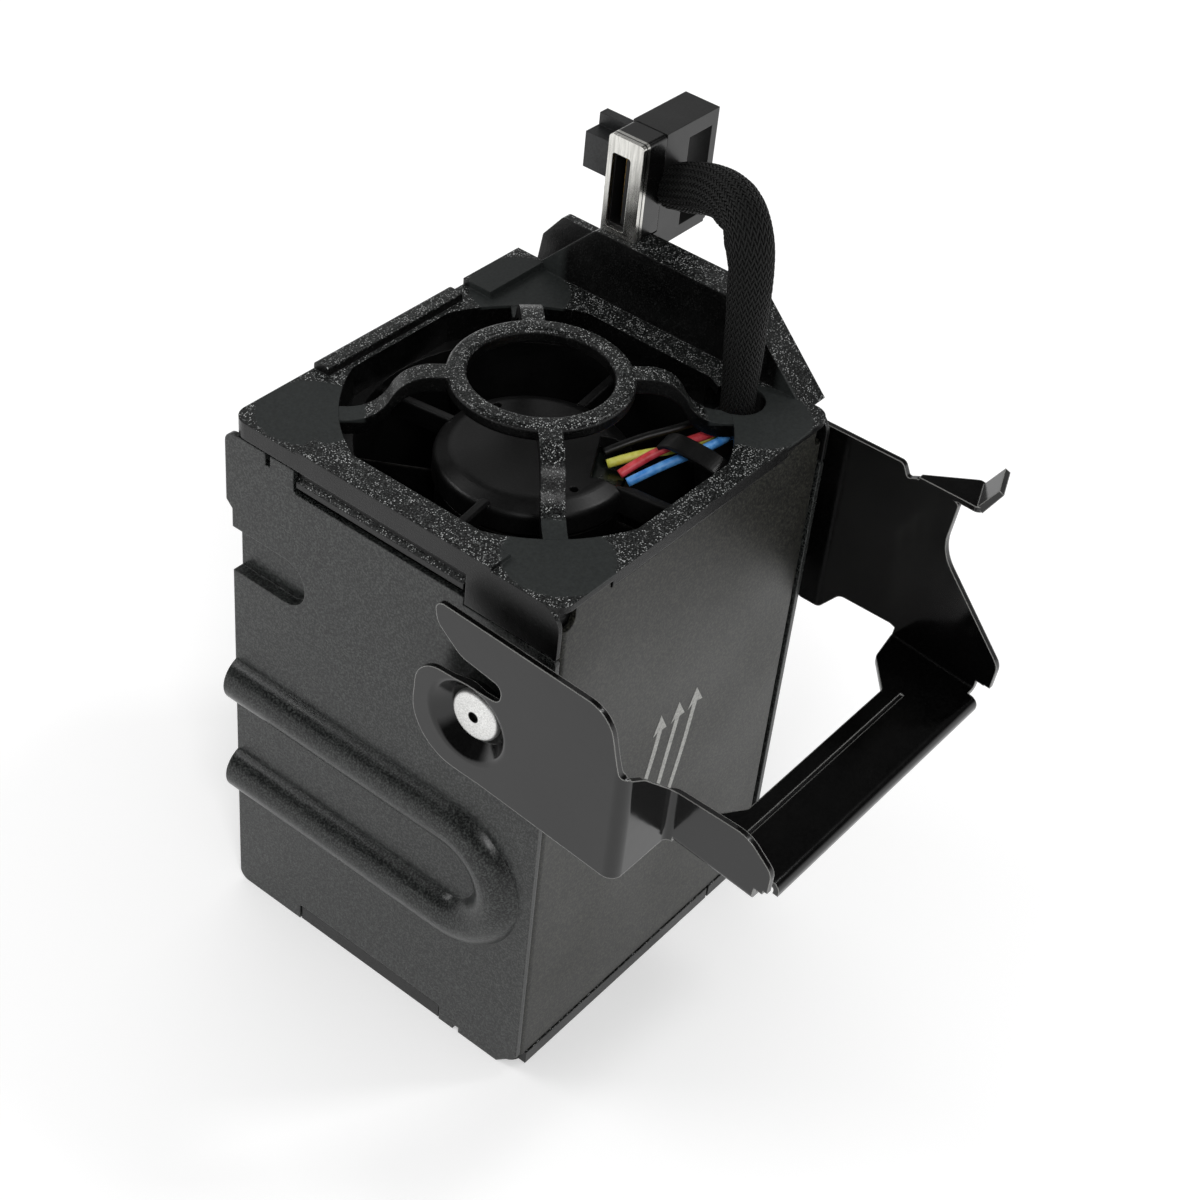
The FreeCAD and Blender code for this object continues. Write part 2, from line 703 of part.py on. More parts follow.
def bearings():
    """Two ball bearings in the tube, drawn as closed rings with their shield step."""
    outer = bearing_outer / 2
    inner = shaft_diameter / 2 + bearing_clearance
    rings = []
    for z in (8.6, 27.6):
        profile = [(inner, z), (inner + 0.8, z), (inner + 1.0, z + 0.3), (outer - 0.9, z + 0.3)]
        profile += [(outer - 0.7, z), (outer, z), (outer, z + bearing_height), (inner, z + bearing_height)]
        rings.append(revolve_z(profile))
    return rings


def bearing_tube():
    """Brass tube that carries the bearings and the stator, pressed into the motor base."""
    inner = bearing_outer / 2
    outer = inner + tube_wall
    z1 = fan_length - cap_recess - base_thickness
    tube = tube_z(outer, inner, 8.2, z1)
    stop = tube_z(inner + 0.3, inner - 1.0, 12.4, 27.4)
    return fuse([tube, stop])


def stator_core():
    """Lamination stack: four poles with shoes on a round back."""
    z0 = 12.5
    z1 = 24.5
    inner = bearing_outer / 2 + tube_wall
    core = [tube_z(inner + 1.8, inner, z0, z1)]
    shoe = tube_z(stator_radius, stator_radius - shoe_thickness, z0, z1)
    wedge = plate_z([(0, 0), (20, -13.5), (20, 13.5)], z0 - 1, z1 + 1)
    shoe = shoe.common(wedge)
    neck = box(inner + 0.8, stator_radius - 0.8, -1.7, 1.7, z0, z1)
    for i in range(4):
        core += [spun(shoe, 90 * i), spun(neck, 90 * i)]
    return fuse(core)


def windings():
    """Copper coil around each pole neck."""
    inner = bearing_outer / 2 + tube_wall + 2.0
    outer = math.sqrt((stator_radius - shoe_thickness) ** 2 - coil_half ** 2) - 0.1
    coil = box(inner, outer, -coil_half, coil_half, 10.6, 26.4)
    return around(coil.cut(box(inner - 1, outer + 1, -1.75, 1.75, 12.45, 24.55)), 4)


def circuit_board():
    hole = bearing_outer / 2 + tube_wall + 1.3
    z1 = fan_length - cap_recess - base_thickness - 0.6
    low = z1 - 1.2
    board = tube_z(base_radius - 1.5, hole, low, z1)
    driver = box(8.5, 12.0, -2.0, 2.0, low - 1.2, low)
    sensor = box(-11.5, -8.5, -1.5, 1.5, low - 1.0, low)
    return fuse([board, driver, sensor])


def straightener():
    """Collar between the fans: vanes and a core turn the swirling air straight."""
    half = fan_size / 2
    z1 = upper_fan - spacer_low
    collar = rounded_block(half, half, 0, z1, fan_corner).cut(post(duct_radius, -1, z1 + 1))
    core = tube_z(hub_radius, hub_radius - 1.2, 2.5, z1 - 2.0)
    vane = box(hub_radius - 0.4, duct_radius + 0.5, -0.6, 0.6, 2.5, z1 - 2.0)
    body = fuse([collar, core] + around(vane, 8, 22.5))
    return fuse([body] + corner_pins(-3.0, z1 + 3.0))


fan_pieces = {
    "fan_frame": fan_frame,
    "motor_base": motor_base,
    "impeller": impeller,
    "rotor_yoke": yoke,
    "rotor_magnet": magnet,
    "fan_shaft": shaft,
    "ball_bearings": bearings,
    "bearing_tube": bearing_tube,
    "stator_core": stator_core,
    "stator_windings": windings,
    "motor_board": circuit_board,
}


# --- connector --------------------------------------------------------------------------------
def connector_housing():
    """Open box on the wing: a nose inside the shield, a solid middle, and a bridge to its end wall."""
    y0, y1 = housing_front, housing_back
    rim = shield_sheet + 0.05
    nose = [(y0 + rim, wing_top + rim + 0.05, 0.5), (y1 - rim, wing_top + rim + 0.05, 0.5)]
    nose += [(y1 - rim, housing_top - 0.1 - rim, 0.5), (y0 + rim, housing_top - 0.1 - rim, 0.5)]
    nose = plate_x(nose, shield_face + 0.9, shield_back + 0.1)
    body = box(shield_back, body_end, y0, y1, wing_top, housing_top)
    lid = box(body_end - 0.5, housing_end, y0, y1, housing_top - 2.8, housing_top)
    under = box(wing_out + 0.05, body_end, y0, y1, housing_low, wing_top)
    floor = box(body_end - 0.5, housing_end - 0.5, y0, y1, housing_low, housing_low + 2.2)
    end = [(y0, housing_low, 0.8), (y1, housing_low, 0.8), (y1, housing_top, 0.8), (y0, housing_top, 0.8)]
    wall = plate_x(end, housing_end - housing_wall, housing_end)
    shape = fuse([nose, body, lid, under, floor, wall])
    back = shield_face + 0.9 + cavity_depth
    shape = shape.cut(box(shield_face, back, y0 + 2.4, y1 - 1.1, wing_top + 1.6, housing_top - 3.2))
    tongue = box(shield_face + 1.6, back + 0.5, y0 + 3.6, y0 + 4.3, wing_top + 1.5, housing_top - 3.1)
    return fuse([shape, tongue])


def connector_shield():
    """Bright metal collar around the nose: a bezel with a window and four thin sides."""
    y0, y1 = housing_front, housing_back
    z0, z1 = wing_top + 0.05, housing_top - 0.1
    s = shield_sheet
    outer = [(y0, z0, 0.4), (y1, z0, 0.4), (y1, z1, 0.8), (y0, z1, 0.8)]
    inner = [(y0 + s, z0 + s, 0.3), (y1 - s, z0 + s, 0.3)]
    inner += [(y1 - s, z1 - s, 0.4), (y0 + s, z1 - s, 0.4)]
    shape = plate_x(outer, shield_face, shield_back - 0.05)
    shape = shape.cut(plate_x(inner, shield_face + 0.8, shield_back + 1))
    window = [(y0 + 2.4, z0 + 1.1, 0.5), (y1 - 1.0, z0 + 1.1, 0.5)]
    window += [(y1 - 1.0, z1 - 3.2, 0.5), (y0 + 2.4, z1 - 3.2, 0.5)]
    return shape.cut(plate_x(window, shield_face - 1, shield_face + 1))


def connector_contacts():
    """Row of contact blades along the tongue in the cavity."""
    x0 = shield_face + 1.9
    x1 = shield_face + 0.9 + cavity_depth
    y0 = housing_front + 4.3
    low = wing_top + 2.8
    pitch = (housing_top - 4.4 - low) / contact_count
    blades = []
    for i in range(contact_count):
        z = low + pitch * (i + 0.5)
        blades.append(box(x0, x1, y0, y0 + 0.3, z - 0.55, z + 0.55))
    return blades


def connector_plug():
    """Stepped plug on the housing's back, with a socket in its end."""
    y0, y1 = housing_back, housing_back + 7.6
    low = box(38.0, 41.5, y0, y1, 123.1, 129.6)
    high = box(41.4, 43.4, y0, y1, 123.1, 131.8)
    shape = fuse([low, high])
    return shape.cut(box(38.9, 42.5, y1 - 4.5, y1 + 1, 124.0, 128.7))


def plug_pins():
    y0 = housing_back + 3.1
    pins = []
    for x in (39.8, 41.6):
        for z in (125.0, 126.3, 127.6):
            pins.append(box(x - 0.25, x + 0.25, y0, y0 + 3.8, z - 0.25, z + 0.25))
    return pins


# --- cables -----------------------------------------------------------------------------------
def cable_sleeve():
    """Braided sleeve from the housing's front face down through the top frame, cut flush at both ends."""
    tube = cord(sleeve_route, sleeve_diameter)
    return tube.common(box(0, 60, -40, housing_front, sleeve_end, 150))


# --- handle -----------------------------------------------------------------------------------
def arm_outline(side):
    """Left (-1) or right (1) arm in (y, z): claw on top, lobe around the pivot, then the reach."""
    if side < 0:
        claw = [(-13.4, 97.4, 1.5)]
        reach = [(-46.4, 95.9, 5.5), (-49.7, 82.8, 1.6), (jog_y - 1.6, 85.8), (jog_y - 1.6, plate_top)]
        reach += [(-64.2, plate_top, 6.0), (-69.2, 70.2, 2.5), (-69.1, 66.0), (jog_y - 1.2, 67.6)]
        under = [(jog_y - 1.2, 64.4), (-49.6, 64.5, 0.5)]
    else:
        claw = [(-13.4, 98.6, 1.5)]
        reach = [(-45.4, 99.0, 1.2), (-46.6, 96.6, 0.5), (-48.2, 97.4, 0.4), (-56.4, 96.8, 0.8)]
        reach += [(-55.4, 86.6, 8.0), (-69.8, 70.4, 3.0), (-69.4, 65.4), (-50.4, 67.0)]
        under = [(-49.2, 67.4, 1.2), (-39.0, 67.3, 2.0), (-35.4, 62.6, 1.6), (-31.6, 62.6, 1.6)]
    lobe = [(-24.0, 66.6, 6.0), (-9.6, 67.0, 9.0), (-10.6, 84.2, 5.0)]
    slot = [(-17.0, 84.6, 1.0), (-26.8, 85.0, 1.6), (-27.0, 88.4, 1.6), (-19.0, 89.6, 4.0)]
    slot.append((-14.2, 93.4, 3.0))
    return claw + reach + under + lobe + slot


def dish(side):
    """Round recess that brings the arm's floor down to the case side around the rivet."""
    floor_in = half_w + dish_clearance
    floor_out = floor_in + handle_sheet
    hole = rivet_shank / 2 + rivet_clearance
    rim = dish_radius + 0.6
    profile = [(hole, floor_in), (dish_floor, floor_in, 1.2), (dish_radius, arm_in, 0.8), (rim, arm_in)]
    profile += [(rim, arm_out), (dish_radius - 0.5, arm_out, 1.2), (dish_floor - 0.9, floor_out, 0.6)]
    profile += [(hole, floor_out)]
    ring = revolve_x(profile, pivot_y, pivot_z).common(plate_x(arm_outline(side), half_w, arm_out + 1))
    return ring if side > 0 else mirrored(ring)


def jogged_sheet():
    """Left arm and finger plate: two bends step the sheet inward, under a slanting top edge."""
    t = handle_sheet
    x_arm = -arm_out
    x_plate = x_arm + jog_inset
    r = bend_radius
    plan = [(x_arm, -5.0), (x_arm, jog_y, r), (x_plate, jog_y, r - t), (x_plate, -75.0)]
    plan += [(x_plate + t, -75.0), (x_plate + t, jog_y + t, r)]
    plan += [(x_arm + t, jog_y + t, r - t), (x_arm + t, -5.0)]
    sheet_metal = plate_z(plan, 55.0, 105.0)
    above = [(-37.0, 84.6), (-33.6, 82.4, 3.0), (x_plate, plate_top), (x_plate + 5, plate_top)]
    above += [(x_plate + 5, 110.0), (-37.0, 110.0)]
    return sheet_metal.cut(plate_y(above, -80.0, jog_y + t + 0.2))


def bar_sheet():
    """Finger bar: a sloping channel floor between plate and arm, with a lip and a pressed crease."""
    t = handle_sheet
    r = fold_radius
    x0 = -arm_out + jog_inset
    x1 = arm_out
    leg = 6.0
    section = [(x0, leg), (x0, -t, r), (x1, -t, r), (x1, leg), (x1 - t, leg), (x1 - t, 0, r - t)]
    section += [(x0 + t, 0, r - t), (x0 + t, leg)]
    span = (bar_back - bar_front) / math.cos(math.radians(bar_slope))
    floor = plate_y(section, -span + bar_lip, 0)
    lip = [(-span + bar_lip, 0), (-span, 0, 1.6), (-span, -bar_lip), (-span + t, -bar_lip)]
    lip += [(-span + t, -t, 0.6), (-span + bar_lip, -t)]
    above_lip = box(x0 - 1, x1 + 1, -span, 0, 1.8, leg + 1)
    sides = plate_y(section, -span + 0.7, -span + bar_lip).common(above_lip)
    floor = fuse([floor, plate_x(lip, x0 + 4.6, x1 - 2.6), sides])
    crease = pin_x(0.4, x0 + 4.0, 27.0, crease_y - bar_back, 0.22)
    floor = floor.cut(crease)
    floor.rotate(Vector(0, 0, 0), Vector(1, 0, 0), bar_slope)
    floor.translate(Vector(0, bar_back, bar_level))
    gap = [(x0 + t, -40.0), (x0 + t, -51.6), (-19.7, -51.6, 1.5), (-12.3, bar_edge, 1.5)]
    gap += [(25.3, bar_edge, 1.0), (31.0, -51.1, 2.0), (37.0, bar_back), (37.0, -40.0)]
    return floor.cut(plate_z(gap, 40.0, 90.0))


def hook_tab():
    """Thumb tab folded outward from the right arm's top edge, with an upturned lip."""
    t = handle_sheet
    z = 96.9
    tip = (43.9, -58.3)
    heel = (37.4, -60.9)
    flat = [(arm_in, -48.6), (arm_out, -48.6), (44.2, -56.2, 1.0), (*tip, 0.5)]
    flat += [(*heel, 1.2), (arm_in, -56.8)]
    tab = plate_z(flat, z, z + t)
    edge = Vector(heel[0] - tip[0], heel[1] - tip[1], 0).normalize()
    out = Vector(-edge.y, edge.x, 0)
    start = Vector(tip[0], tip[1] + 0.3, z)
    lip = [start, start + out * 2.6 + Vector(0, 0, 4.4), start + out * 1.7 + Vector(0, 0, 5.0)]
    lip.append(start - out * 1.0 + Vector(0, 0, t))
    face = Part.Face(Part.makePolygon(lip + [start]))
    return [tab, face.extrude(edge * 6.4)]


def handle_bail():
    """One bent sheet: two arms with claws and pivot dishes, joined by the finger bar."""
    left_outline = plate_x(arm_outline(-1), -arm_out - 1, -arm_out + jog_inset + 3)
    left = jogged_sheet().common(left_outline)
    left = left.cut(pin_x(dish_radius + 0.1, -arm_out - 1, -arm_in + 1, pivot_y, pivot_z))
    right = plate_x(arm_outline(1), arm_in, arm_out)
    right = right.cut(pin_x(dish_radius + 0.1, arm_in - 1, arm_out + 1, pivot_y, pivot_z))
    return fuse([left, right, dish(-1), dish(1), bar_sheet()] + hook_tab())


def pivot_rivet():
    """Shouldered rivet: dimpled head on the dish's floor, shank through the case side."""
    seat_x = half_w + dish_clearance + handle_sheet + 0.05
    head = rivet_head / 2
    shank = rivet_shank / 2
    upset = 3.6
    profile = [(0, inner_x - 1.0), (upset, inner_x - 1.0, 0.3), (upset, inner_x), (shank, inner_x)]
    profile += [(shank, seat_x), (head, seat_x), (head, seat_x + 1.2, 0.7), (0.8, seat_x + 1.35)]
    profile += [(0.6, seat_x + 0.9), (0, seat_x + 0.9)]
    return revolve_x(profile, pivot_y, pivot_z)


# --- build ------------------------------------------------------------------------------------
os.makedirs("parts", exist_ok=True)

left_panel = side_panel()
save("left_side_panel", left_panel)
save("right_side_panel", mirrored(left_panel))
save("front_cover", front_cover())
save("back_cover", back_cover())
save("top_frame", top_frame())
save("bottom_guard", bottom_guard())
save("flow_straightener", raised(straightener(), spacer_low))

for level, base in (("lower", guard_top), ("upper", upper_fan)):
    for piece, make in fan_pieces.items():
        made = make()
        made = made if isinstance(made, list) else [made]
        save("%s_%s" % (level, piece), [raised(item, base) for item in made])

save("connector_housing", connector_housing())
save("connector_shield", connector_shield())
save("connector_contacts", connector_contacts())
save("connector_plug", connector_plug())
save("plug_pins", plug_pins())
save("cable_sleeve", cable_sleeve())
for name, route in lead_routes.items():
    save(name, cord(route, lead_diameter))

save("handle_bail", handle_bail())
rivet = pivot_rivet()
save("right_pivot_rivet", rivet)
save("left_pivot_rivet", mirrored(rivet))
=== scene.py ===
import bmesh
import bpy
import math

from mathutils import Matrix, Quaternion, Vector


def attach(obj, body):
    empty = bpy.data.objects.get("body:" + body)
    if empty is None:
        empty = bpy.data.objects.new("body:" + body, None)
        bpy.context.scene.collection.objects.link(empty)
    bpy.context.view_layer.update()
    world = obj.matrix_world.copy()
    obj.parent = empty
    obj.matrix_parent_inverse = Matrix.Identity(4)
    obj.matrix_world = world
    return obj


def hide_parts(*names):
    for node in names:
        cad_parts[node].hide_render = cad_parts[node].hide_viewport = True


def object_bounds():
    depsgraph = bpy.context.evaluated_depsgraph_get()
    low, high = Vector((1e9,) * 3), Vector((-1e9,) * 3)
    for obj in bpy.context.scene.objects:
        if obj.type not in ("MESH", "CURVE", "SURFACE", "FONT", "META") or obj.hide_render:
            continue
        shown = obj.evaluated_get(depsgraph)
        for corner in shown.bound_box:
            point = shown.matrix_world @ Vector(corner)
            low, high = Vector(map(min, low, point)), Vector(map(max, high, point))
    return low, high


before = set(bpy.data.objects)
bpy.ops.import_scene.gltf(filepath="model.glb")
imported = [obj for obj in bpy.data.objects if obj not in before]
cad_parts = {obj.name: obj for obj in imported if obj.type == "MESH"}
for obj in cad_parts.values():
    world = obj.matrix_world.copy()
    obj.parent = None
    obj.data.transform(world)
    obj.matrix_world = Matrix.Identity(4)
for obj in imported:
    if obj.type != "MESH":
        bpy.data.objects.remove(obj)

# Hot-swap server fan module: the finishes of its sheet metal, mouldings, fans and handle, and the
# braided sleeve, motor leads, lead hook and air arrows. Metres; mm() turns millimetres into metres.
cadLow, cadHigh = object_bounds()


def mm(*values):
    scaled = tuple(value / 1000.0 for value in values)
    return scaled[0] if len(scaled) == 1 else scaled


def shade(red, green, blue):             # screen values 0 to 255, as the linear colour nodes take
    made = []
    for value in (red, green, blue):
        value = value / 255.0
        made.append(value / 12.92 if value <= 0.04045 else ((value + 0.055) / 1.055) ** 2.4)
    return (*made, 1.0)


# The camera
view = {
    "place": (-0.22589, -0.17166, 0.30696),
    "azimuth": 34.603,
    "elevation": -40.193,
    "roll": 6.623,
    "lens": 66.62,
}


def addCamera():
    data = bpy.data.cameras.new("viewCamera")
    data.lens = view["lens"]
    data.sensor_width = 36.0
    data.clip_start = 0.005
    data.clip_end = 20.0
    camera = bpy.data.objects.new("viewCamera", data)
    bpy.context.scene.collection.objects.link(camera)
    azimuth, elevation = math.radians(view["azimuth"]), math.radians(view["elevation"])
    forward = Vector((
        math.cos(elevation) * math.cos(azimuth),
        math.cos(elevation) * math.sin(azimuth),
        math.sin(elevation),
    ))
    turn = Quaternion((0.0, 0.0, 1.0), math.radians(view["roll"]))
    camera.rotation_mode = "QUATERNION"
    camera.rotation_quaternion = forward.to_track_quat("-Z", "Y") @ turn
    camera.location = view["place"]
    bpy.context.scene.camera = camera


addCamera()
bpy.context.scene.view_settings.view_transform = "Standard"
print("camera ready")


# Nodes that the materials are made of
def addNode(tree, kind, values=None, **settings):
    made = tree.nodes.new("ShaderNode" + kind)
    for name, value in settings.items():
        setattr(made, name, value)
    for socket, value in (values or {}).items():
        if isinstance(value, bpy.types.NodeSocket):
            tree.links.new(value, made.inputs[socket])
        else:
            made.inputs[socket].default_value = value
    return made


def startMaterial(name, constants):
    made = bpy.data.materials.new(name)
    made.use_nodes = True
    tree = made.node_tree
    shader = tree.nodes["Principled BSDF"]
    for socket, value in constants.items():
        shader.inputs[socket].default_value = value
    place = addNode(tree, "TexCoord").outputs["Object"]
    return made, tree, shader, place


def noise(tree, place, size, detail=2.0, stretch=None):
    if stretch:
        place = addNode(tree, "Mapping", {"Vector": place, "Scale": stretch}).outputs[0]
    values = {"Vector": place, "Scale": 1000.0 / size, "Detail": detail, "Roughness": 0.55}
    return addNode(tree, "TexNoise", values).outputs[0]


def remap(tree, value, low, high, toLow=0.0, toHigh=1.0):
    values = {"Value": value, "From Min": low, "From Max": high, "To Min": toLow, "To Max": toHigh}
    return addNode(tree, "MapRange", values).outputs[0]


def math2(tree, operation, first, second=0.0):
    return addNode(tree, "Math", {0: first, 1: second}, operation=operation).outputs[0]


def mixTone(tree, amount, first, second):
    return addNode(tree, "MixRGB", {"Fac": amount, "Color1": first, "Color2": second}).outputs[0]


def roundedNormal(tree, radius):
    return addNode(tree, "Bevel", {"Radius": radius}, samples=6).outputs[0]


# edge mask used both for wear and for painted edge highlights
def wornAndLitEdges(tree, radius, low, high):  # 1 along outer and inner edges, 0 on open faces
    flat = addNode(tree, "NewGeometry").outputs["Normal"]
    pair = {0: roundedNormal(tree, radius), 1: flat}
    dot = addNode(tree, "VectorMath", pair, operation="DOT_PRODUCT").outputs["Value"]
    return remap(tree, math2(tree, "SUBTRACT", 1.0, dot), low, high)


def bump(tree, height, depth, normal=None):
    values = {"Strength": 1.0, "Distance": depth, "Height": height}
    if normal is not None:
        values["Normal"] = normal
    return addNode(tree, "Bump", values).outputs[0]


# What a finish has where its own dictionary says nothing. Sizes are in millimetres.
usualLook = {
    "metallic": 0.0, "coat": 0.0, "coatRough": 0.1, "specular": 0.5,
    "stretch": None,                     # the grain's scale along X, Y and Z
    "patch": 14.0,                       # size of the patches of dust and wear
    "speck": (0.34, 0.66),               # part of the grain's noise that goes from dark to light
    "dustRange": (0.45, 0.75), "roughRange": (0.3, 0.7),
    "edgeWidth": 0.3, "edgeRange": (0.02, 0.25),
    "edgeBreaks": (0.4, 0.6), "breakSize": 1.3,
    "corner": 0.15,                      # radius that edges seem to have
    "hollowSoft": 0.15,
    "lipSoft": 0.05, "groove": (0.75, 0.14),
}


def finish(name, ownLook):
    look = {**usualLook, **ownLook}
    made, tree, shader, place = startMaterial(name, {
        "IOR": 1.5,
        "Metallic": look["metallic"],
        "Coat Weight": look["coat"],
        "Coat Roughness": look["coatRough"],
        "Specular IOR Level": look["specular"],
    })
    grain = noise(tree, place, look["grain"], 2.0, look["stretch"])
    patch = noise(tree, place, look["patch"], 4.0)
    colour = mixTone(tree, remap(tree, grain, *look["speck"]), look["dark"], look["light"])
    if "dust" in look:
        cloud = remap(tree, patch, *look["dustRange"], 0.0, look["dust"])
        colour = mixTone(tree, cloud, colour, look["dustTone"])
    # edge tone along edges: partly wear, partly a painted edge highlight
    if "edgeTone" in look:
        wornAndLit = wornAndLitEdges(tree, mm(look["edgeWidth"]), *look["edgeRange"])
        broken = remap(tree, noise(tree, place, look["breakSize"], 3.0), *look["edgeBreaks"])
        colour = mixTone(tree, math2(tree, "MULTIPLY", wornAndLit, broken), colour, look["edgeTone"])
    # painted shade: dark spot in the dimple at the middle of a rivet
    if "hollow" in look:                 # dark dimple at the middle of a rivet
        spot = addNode(tree, "VectorMath", {0: place, 1: (0.0, 1.0, 1.0)}, operation="MULTIPLY")
        pivot = (0.0, *mm(*look["pivot"]))
        away = addNode(tree, "VectorMath", {0: spot.outputs[0], 1: pivot}, operation="DISTANCE")
        rim, core = mm(look["hollow"], look["hollow"] - look["hollowSoft"])
        colour = mixTone(tree, remap(tree, away.outputs["Value"], rim, core), colour,
                         look["hollowShadeTone"])
    if "lip" in look:                    # only the front lip is bare metal
        edge = mm(look["lip"])
        grooveDepth, grooveHalf = mm(*look["groove"])
        depthAlong = addNode(tree, "SeparateXYZ", {0: place}).outputs[0]
        behind = remap(tree, depthAlong, edge, edge + mm(look["lipSoft"]))
        # painted shade: a thin dark, non-metal line along the lip's groove
        groove = math2(tree, "COMPARE", depthAlong, edge - grooveDepth)
        groove.node.inputs[2].default_value = grooveHalf
        behind = math2(tree, "MAXIMUM", behind, groove)
        colour = mixTone(tree, behind, colour, look["lipTone"])
        tree.links.new(math2(tree, "SUBTRACT", 1.0, behind), shader.inputs["Metallic"])
    tree.links.new(colour, shader.inputs["Base Color"])
    rough = remap(tree, patch, *look["roughRange"], *look["rough"])
    tree.links.new(rough, shader.inputs["Roughness"])
    normal = roundedNormal(tree, mm(look["corner"]))
    if "wave" in look:                   # slow waviness under the grain
        size, depth = look["wave"]
        normal = bump(tree, noise(tree, place, size, 1.0), mm(depth), normal)
    normal = bump(tree, grain, mm(look["depth"]), normal)
    tree.links.new(normal, shader.inputs["Normal"])
    return made


def dress(material, *nodes):             # gives CAD nodes their finish
    for node in nodes:
        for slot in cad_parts[node].material_slots:
            slot.material = material


# Sheet metal
panelPaint = {
    "dark": shade(3, 4, 5), "light": shade(74, 77, 75), "grain": 0.33, "depth": 0.006,
    "speck": (0.42, 0.84), "patch": 22.0, "dust": 0.05, "dustTone": shade(92, 94, 90),
    "wave": (9.0, 0.008), "rough": (0.24, 0.34), "specular": 0.36, "edgeTone": shade(70, 71, 69),
    "edgeWidth": 0.25, "corner": 0.3,
}
coverPaint = {
    "dark": shade(3, 3, 2), "light": shade(66, 66, 58), "grain": 0.32, "depth": 0.006,
    "speck": (0.42, 0.84), "patch": 26.0, "dust": 0.04, "dustTone": shade(86, 86, 80),
    "wave": (11.0, 0.008), "rough": (0.36, 0.48), "specular": 0.38, "edgeTone": shade(66, 66, 62),
    "edgeWidth": 0.2, "corner": 0.25,
}
# the handle's bright edgeTone is a painted highlight along its sheet edges and folds
handleGloss = {
    "dark": shade(2, 2, 2), "light": shade(8, 8, 8), "grain": 0.5, "depth": 0.0012,
    "patch": 12.0, "dust": 0.04, "dustTone": shade(50, 50, 47), "wave": (2.6, 0.012),
    "rough": (0.1, 0.2), "edgeTone": shade(158, 158, 155), "edgeWidth": 0.3, "corner": 0.3,
    "edgeRange": (0.02, 0.12), "edgeBreaks": (0.12, 0.34),
}
dress(finish("panelPaint", panelPaint), "left_side_panel", "right_side_panel")
dress(finish("coverPaint", coverPaint), "front_cover", "back_cover")
dress(finish("handleGloss", handleGloss), "handle_bail")

# Mouldings
frameSpark = {
    "dark": shade(2, 2, 2), "light": shade(54, 57, 56), "spark": 0.3, "sparkDepth": 0.04,
    "glint": shade(206, 208, 207), "glintSize": 0.26, "glintShare": 0.6,
    "padTone": shade(50, 54, 53), "padDark": shade(24, 26, 26),
    "padRadius": 8.6, "padPitch": 25.0, "padLow": 103.2, "padSoft": 0.25, "padRise": 0.2,
    "padBump": 0.2,                      # share of the bump that the smooth pads keep
    "grainRange": (0.44, 0.74),
    # painted top light: level faces get the lit grain and glints, upright faces stay dark
    "paintedTopLight": (0.2, 0.9, 0.03, 1.0),     # grain and glints fade from level faces to upright ones
    "glintEdge": (0.5, 0.2),
    "cloud": 1.6, "cloudRange": (0.4, 0.62, 0.2, 1.0),
    "patch": 9.0, "rough": (0.3, 0.4), "padRough": 0.55, "corner": 0.25, "specular": 0.34,
}


def sparkPlastic(name, look):
    made, tree, shader, place = startMaterial(name, {
        "IOR": 1.5,
        "Specular IOR Level": look["specular"],
    })
    fine = noise(tree, place, look["spark"], 2.0)
    # pad is 1 on the four smooth round pads at the corners of the deck
    axes = addNode(tree, "SeparateXYZ", {0: place})
    acrossX = math2(tree, "ABSOLUTE", axes.outputs[0])
    acrossY = math2(tree, "ABSOLUTE", axes.outputs[1])
    spot = addNode(tree, "CombineXYZ", {0: acrossX, 1: acrossY, 2: 0.0}).outputs[0]
    middle = (mm(look["padPitch"]), mm(look["padPitch"]), 0.0)
    away = addNode(tree, "VectorMath", {0: spot, 1: middle}, operation="DISTANCE").outputs["Value"]
    outer, inner = look["padRadius"] + look["padSoft"], look["padRadius"] - look["padSoft"]
    near = remap(tree, away, *mm(outer, inner))
    high = remap(tree, axes.outputs[2], *mm(look["padLow"], look["padLow"] + look["padRise"]))
    pad = math2(tree, "MULTIPLY", near, high)
    facing = addNode(tree, "SeparateXYZ", {0: addNode(tree, "NewGeometry").outputs["Normal"]})
    paintedTopLight = remap(tree, facing.outputs[2], *look["paintedTopLight"])
    grain = math2(tree, "MULTIPLY", remap(tree, fine, *look["grainRange"]), paintedTopLight)
    colour = mixTone(tree, grain, look["dark"], look["light"])
    # one cell in a few is a bright glint, a painted highlight, strongest on level faces
    values = {"Vector": place, "Scale": 1000.0 / look["glintSize"]}
    cell = addNode(tree, "TexVoronoi", values)
    chance = addNode(tree, "SeparateXYZ", {0: cell.outputs["Color"]}).outputs[0]
    chosen = remap(tree, chance, look["glintShare"], look["glintShare"] + 0.02)
    core = remap(tree, cell.outputs["Distance"], *look["glintEdge"])
    glint = math2(tree, "MULTIPLY", math2(tree, "MULTIPLY", chosen, core), paintedTopLight)
    cloud = remap(tree, noise(tree, place, look["cloud"], 3.0), *look["cloudRange"])
    glint = math2(tree, "MULTIPLY", glint, cloud)
    colour = mixTone(tree, glint, colour, look["glint"])
    smooth = mixTone(tree, noise(tree, place, 0.5, 5.0), look["padDark"], look["padTone"])
    colour = mixTone(tree, pad, colour, smooth)
    tree.links.new(colour, shader.inputs["Base Color"])
    patch = remap(tree, noise(tree, place, look["patch"], 3.0), 0.35, 0.65, *look["rough"])
    rough = mixTone(tree, pad, patch, (look["padRough"],) * 3 + (1.0,))
    tree.links.new(rough, shader.inputs["Roughness"])
    height = math2(tree, "MULTIPLY", fine, remap(tree, pad, 0.0, 1.0, 1.0, look["padBump"]))
    normal = bump(tree, height, mm(look["sparkDepth"]), roundedNormal(tree, mm(look["corner"])))
    tree.links.new(normal, shader.inputs["Normal"])
    return made


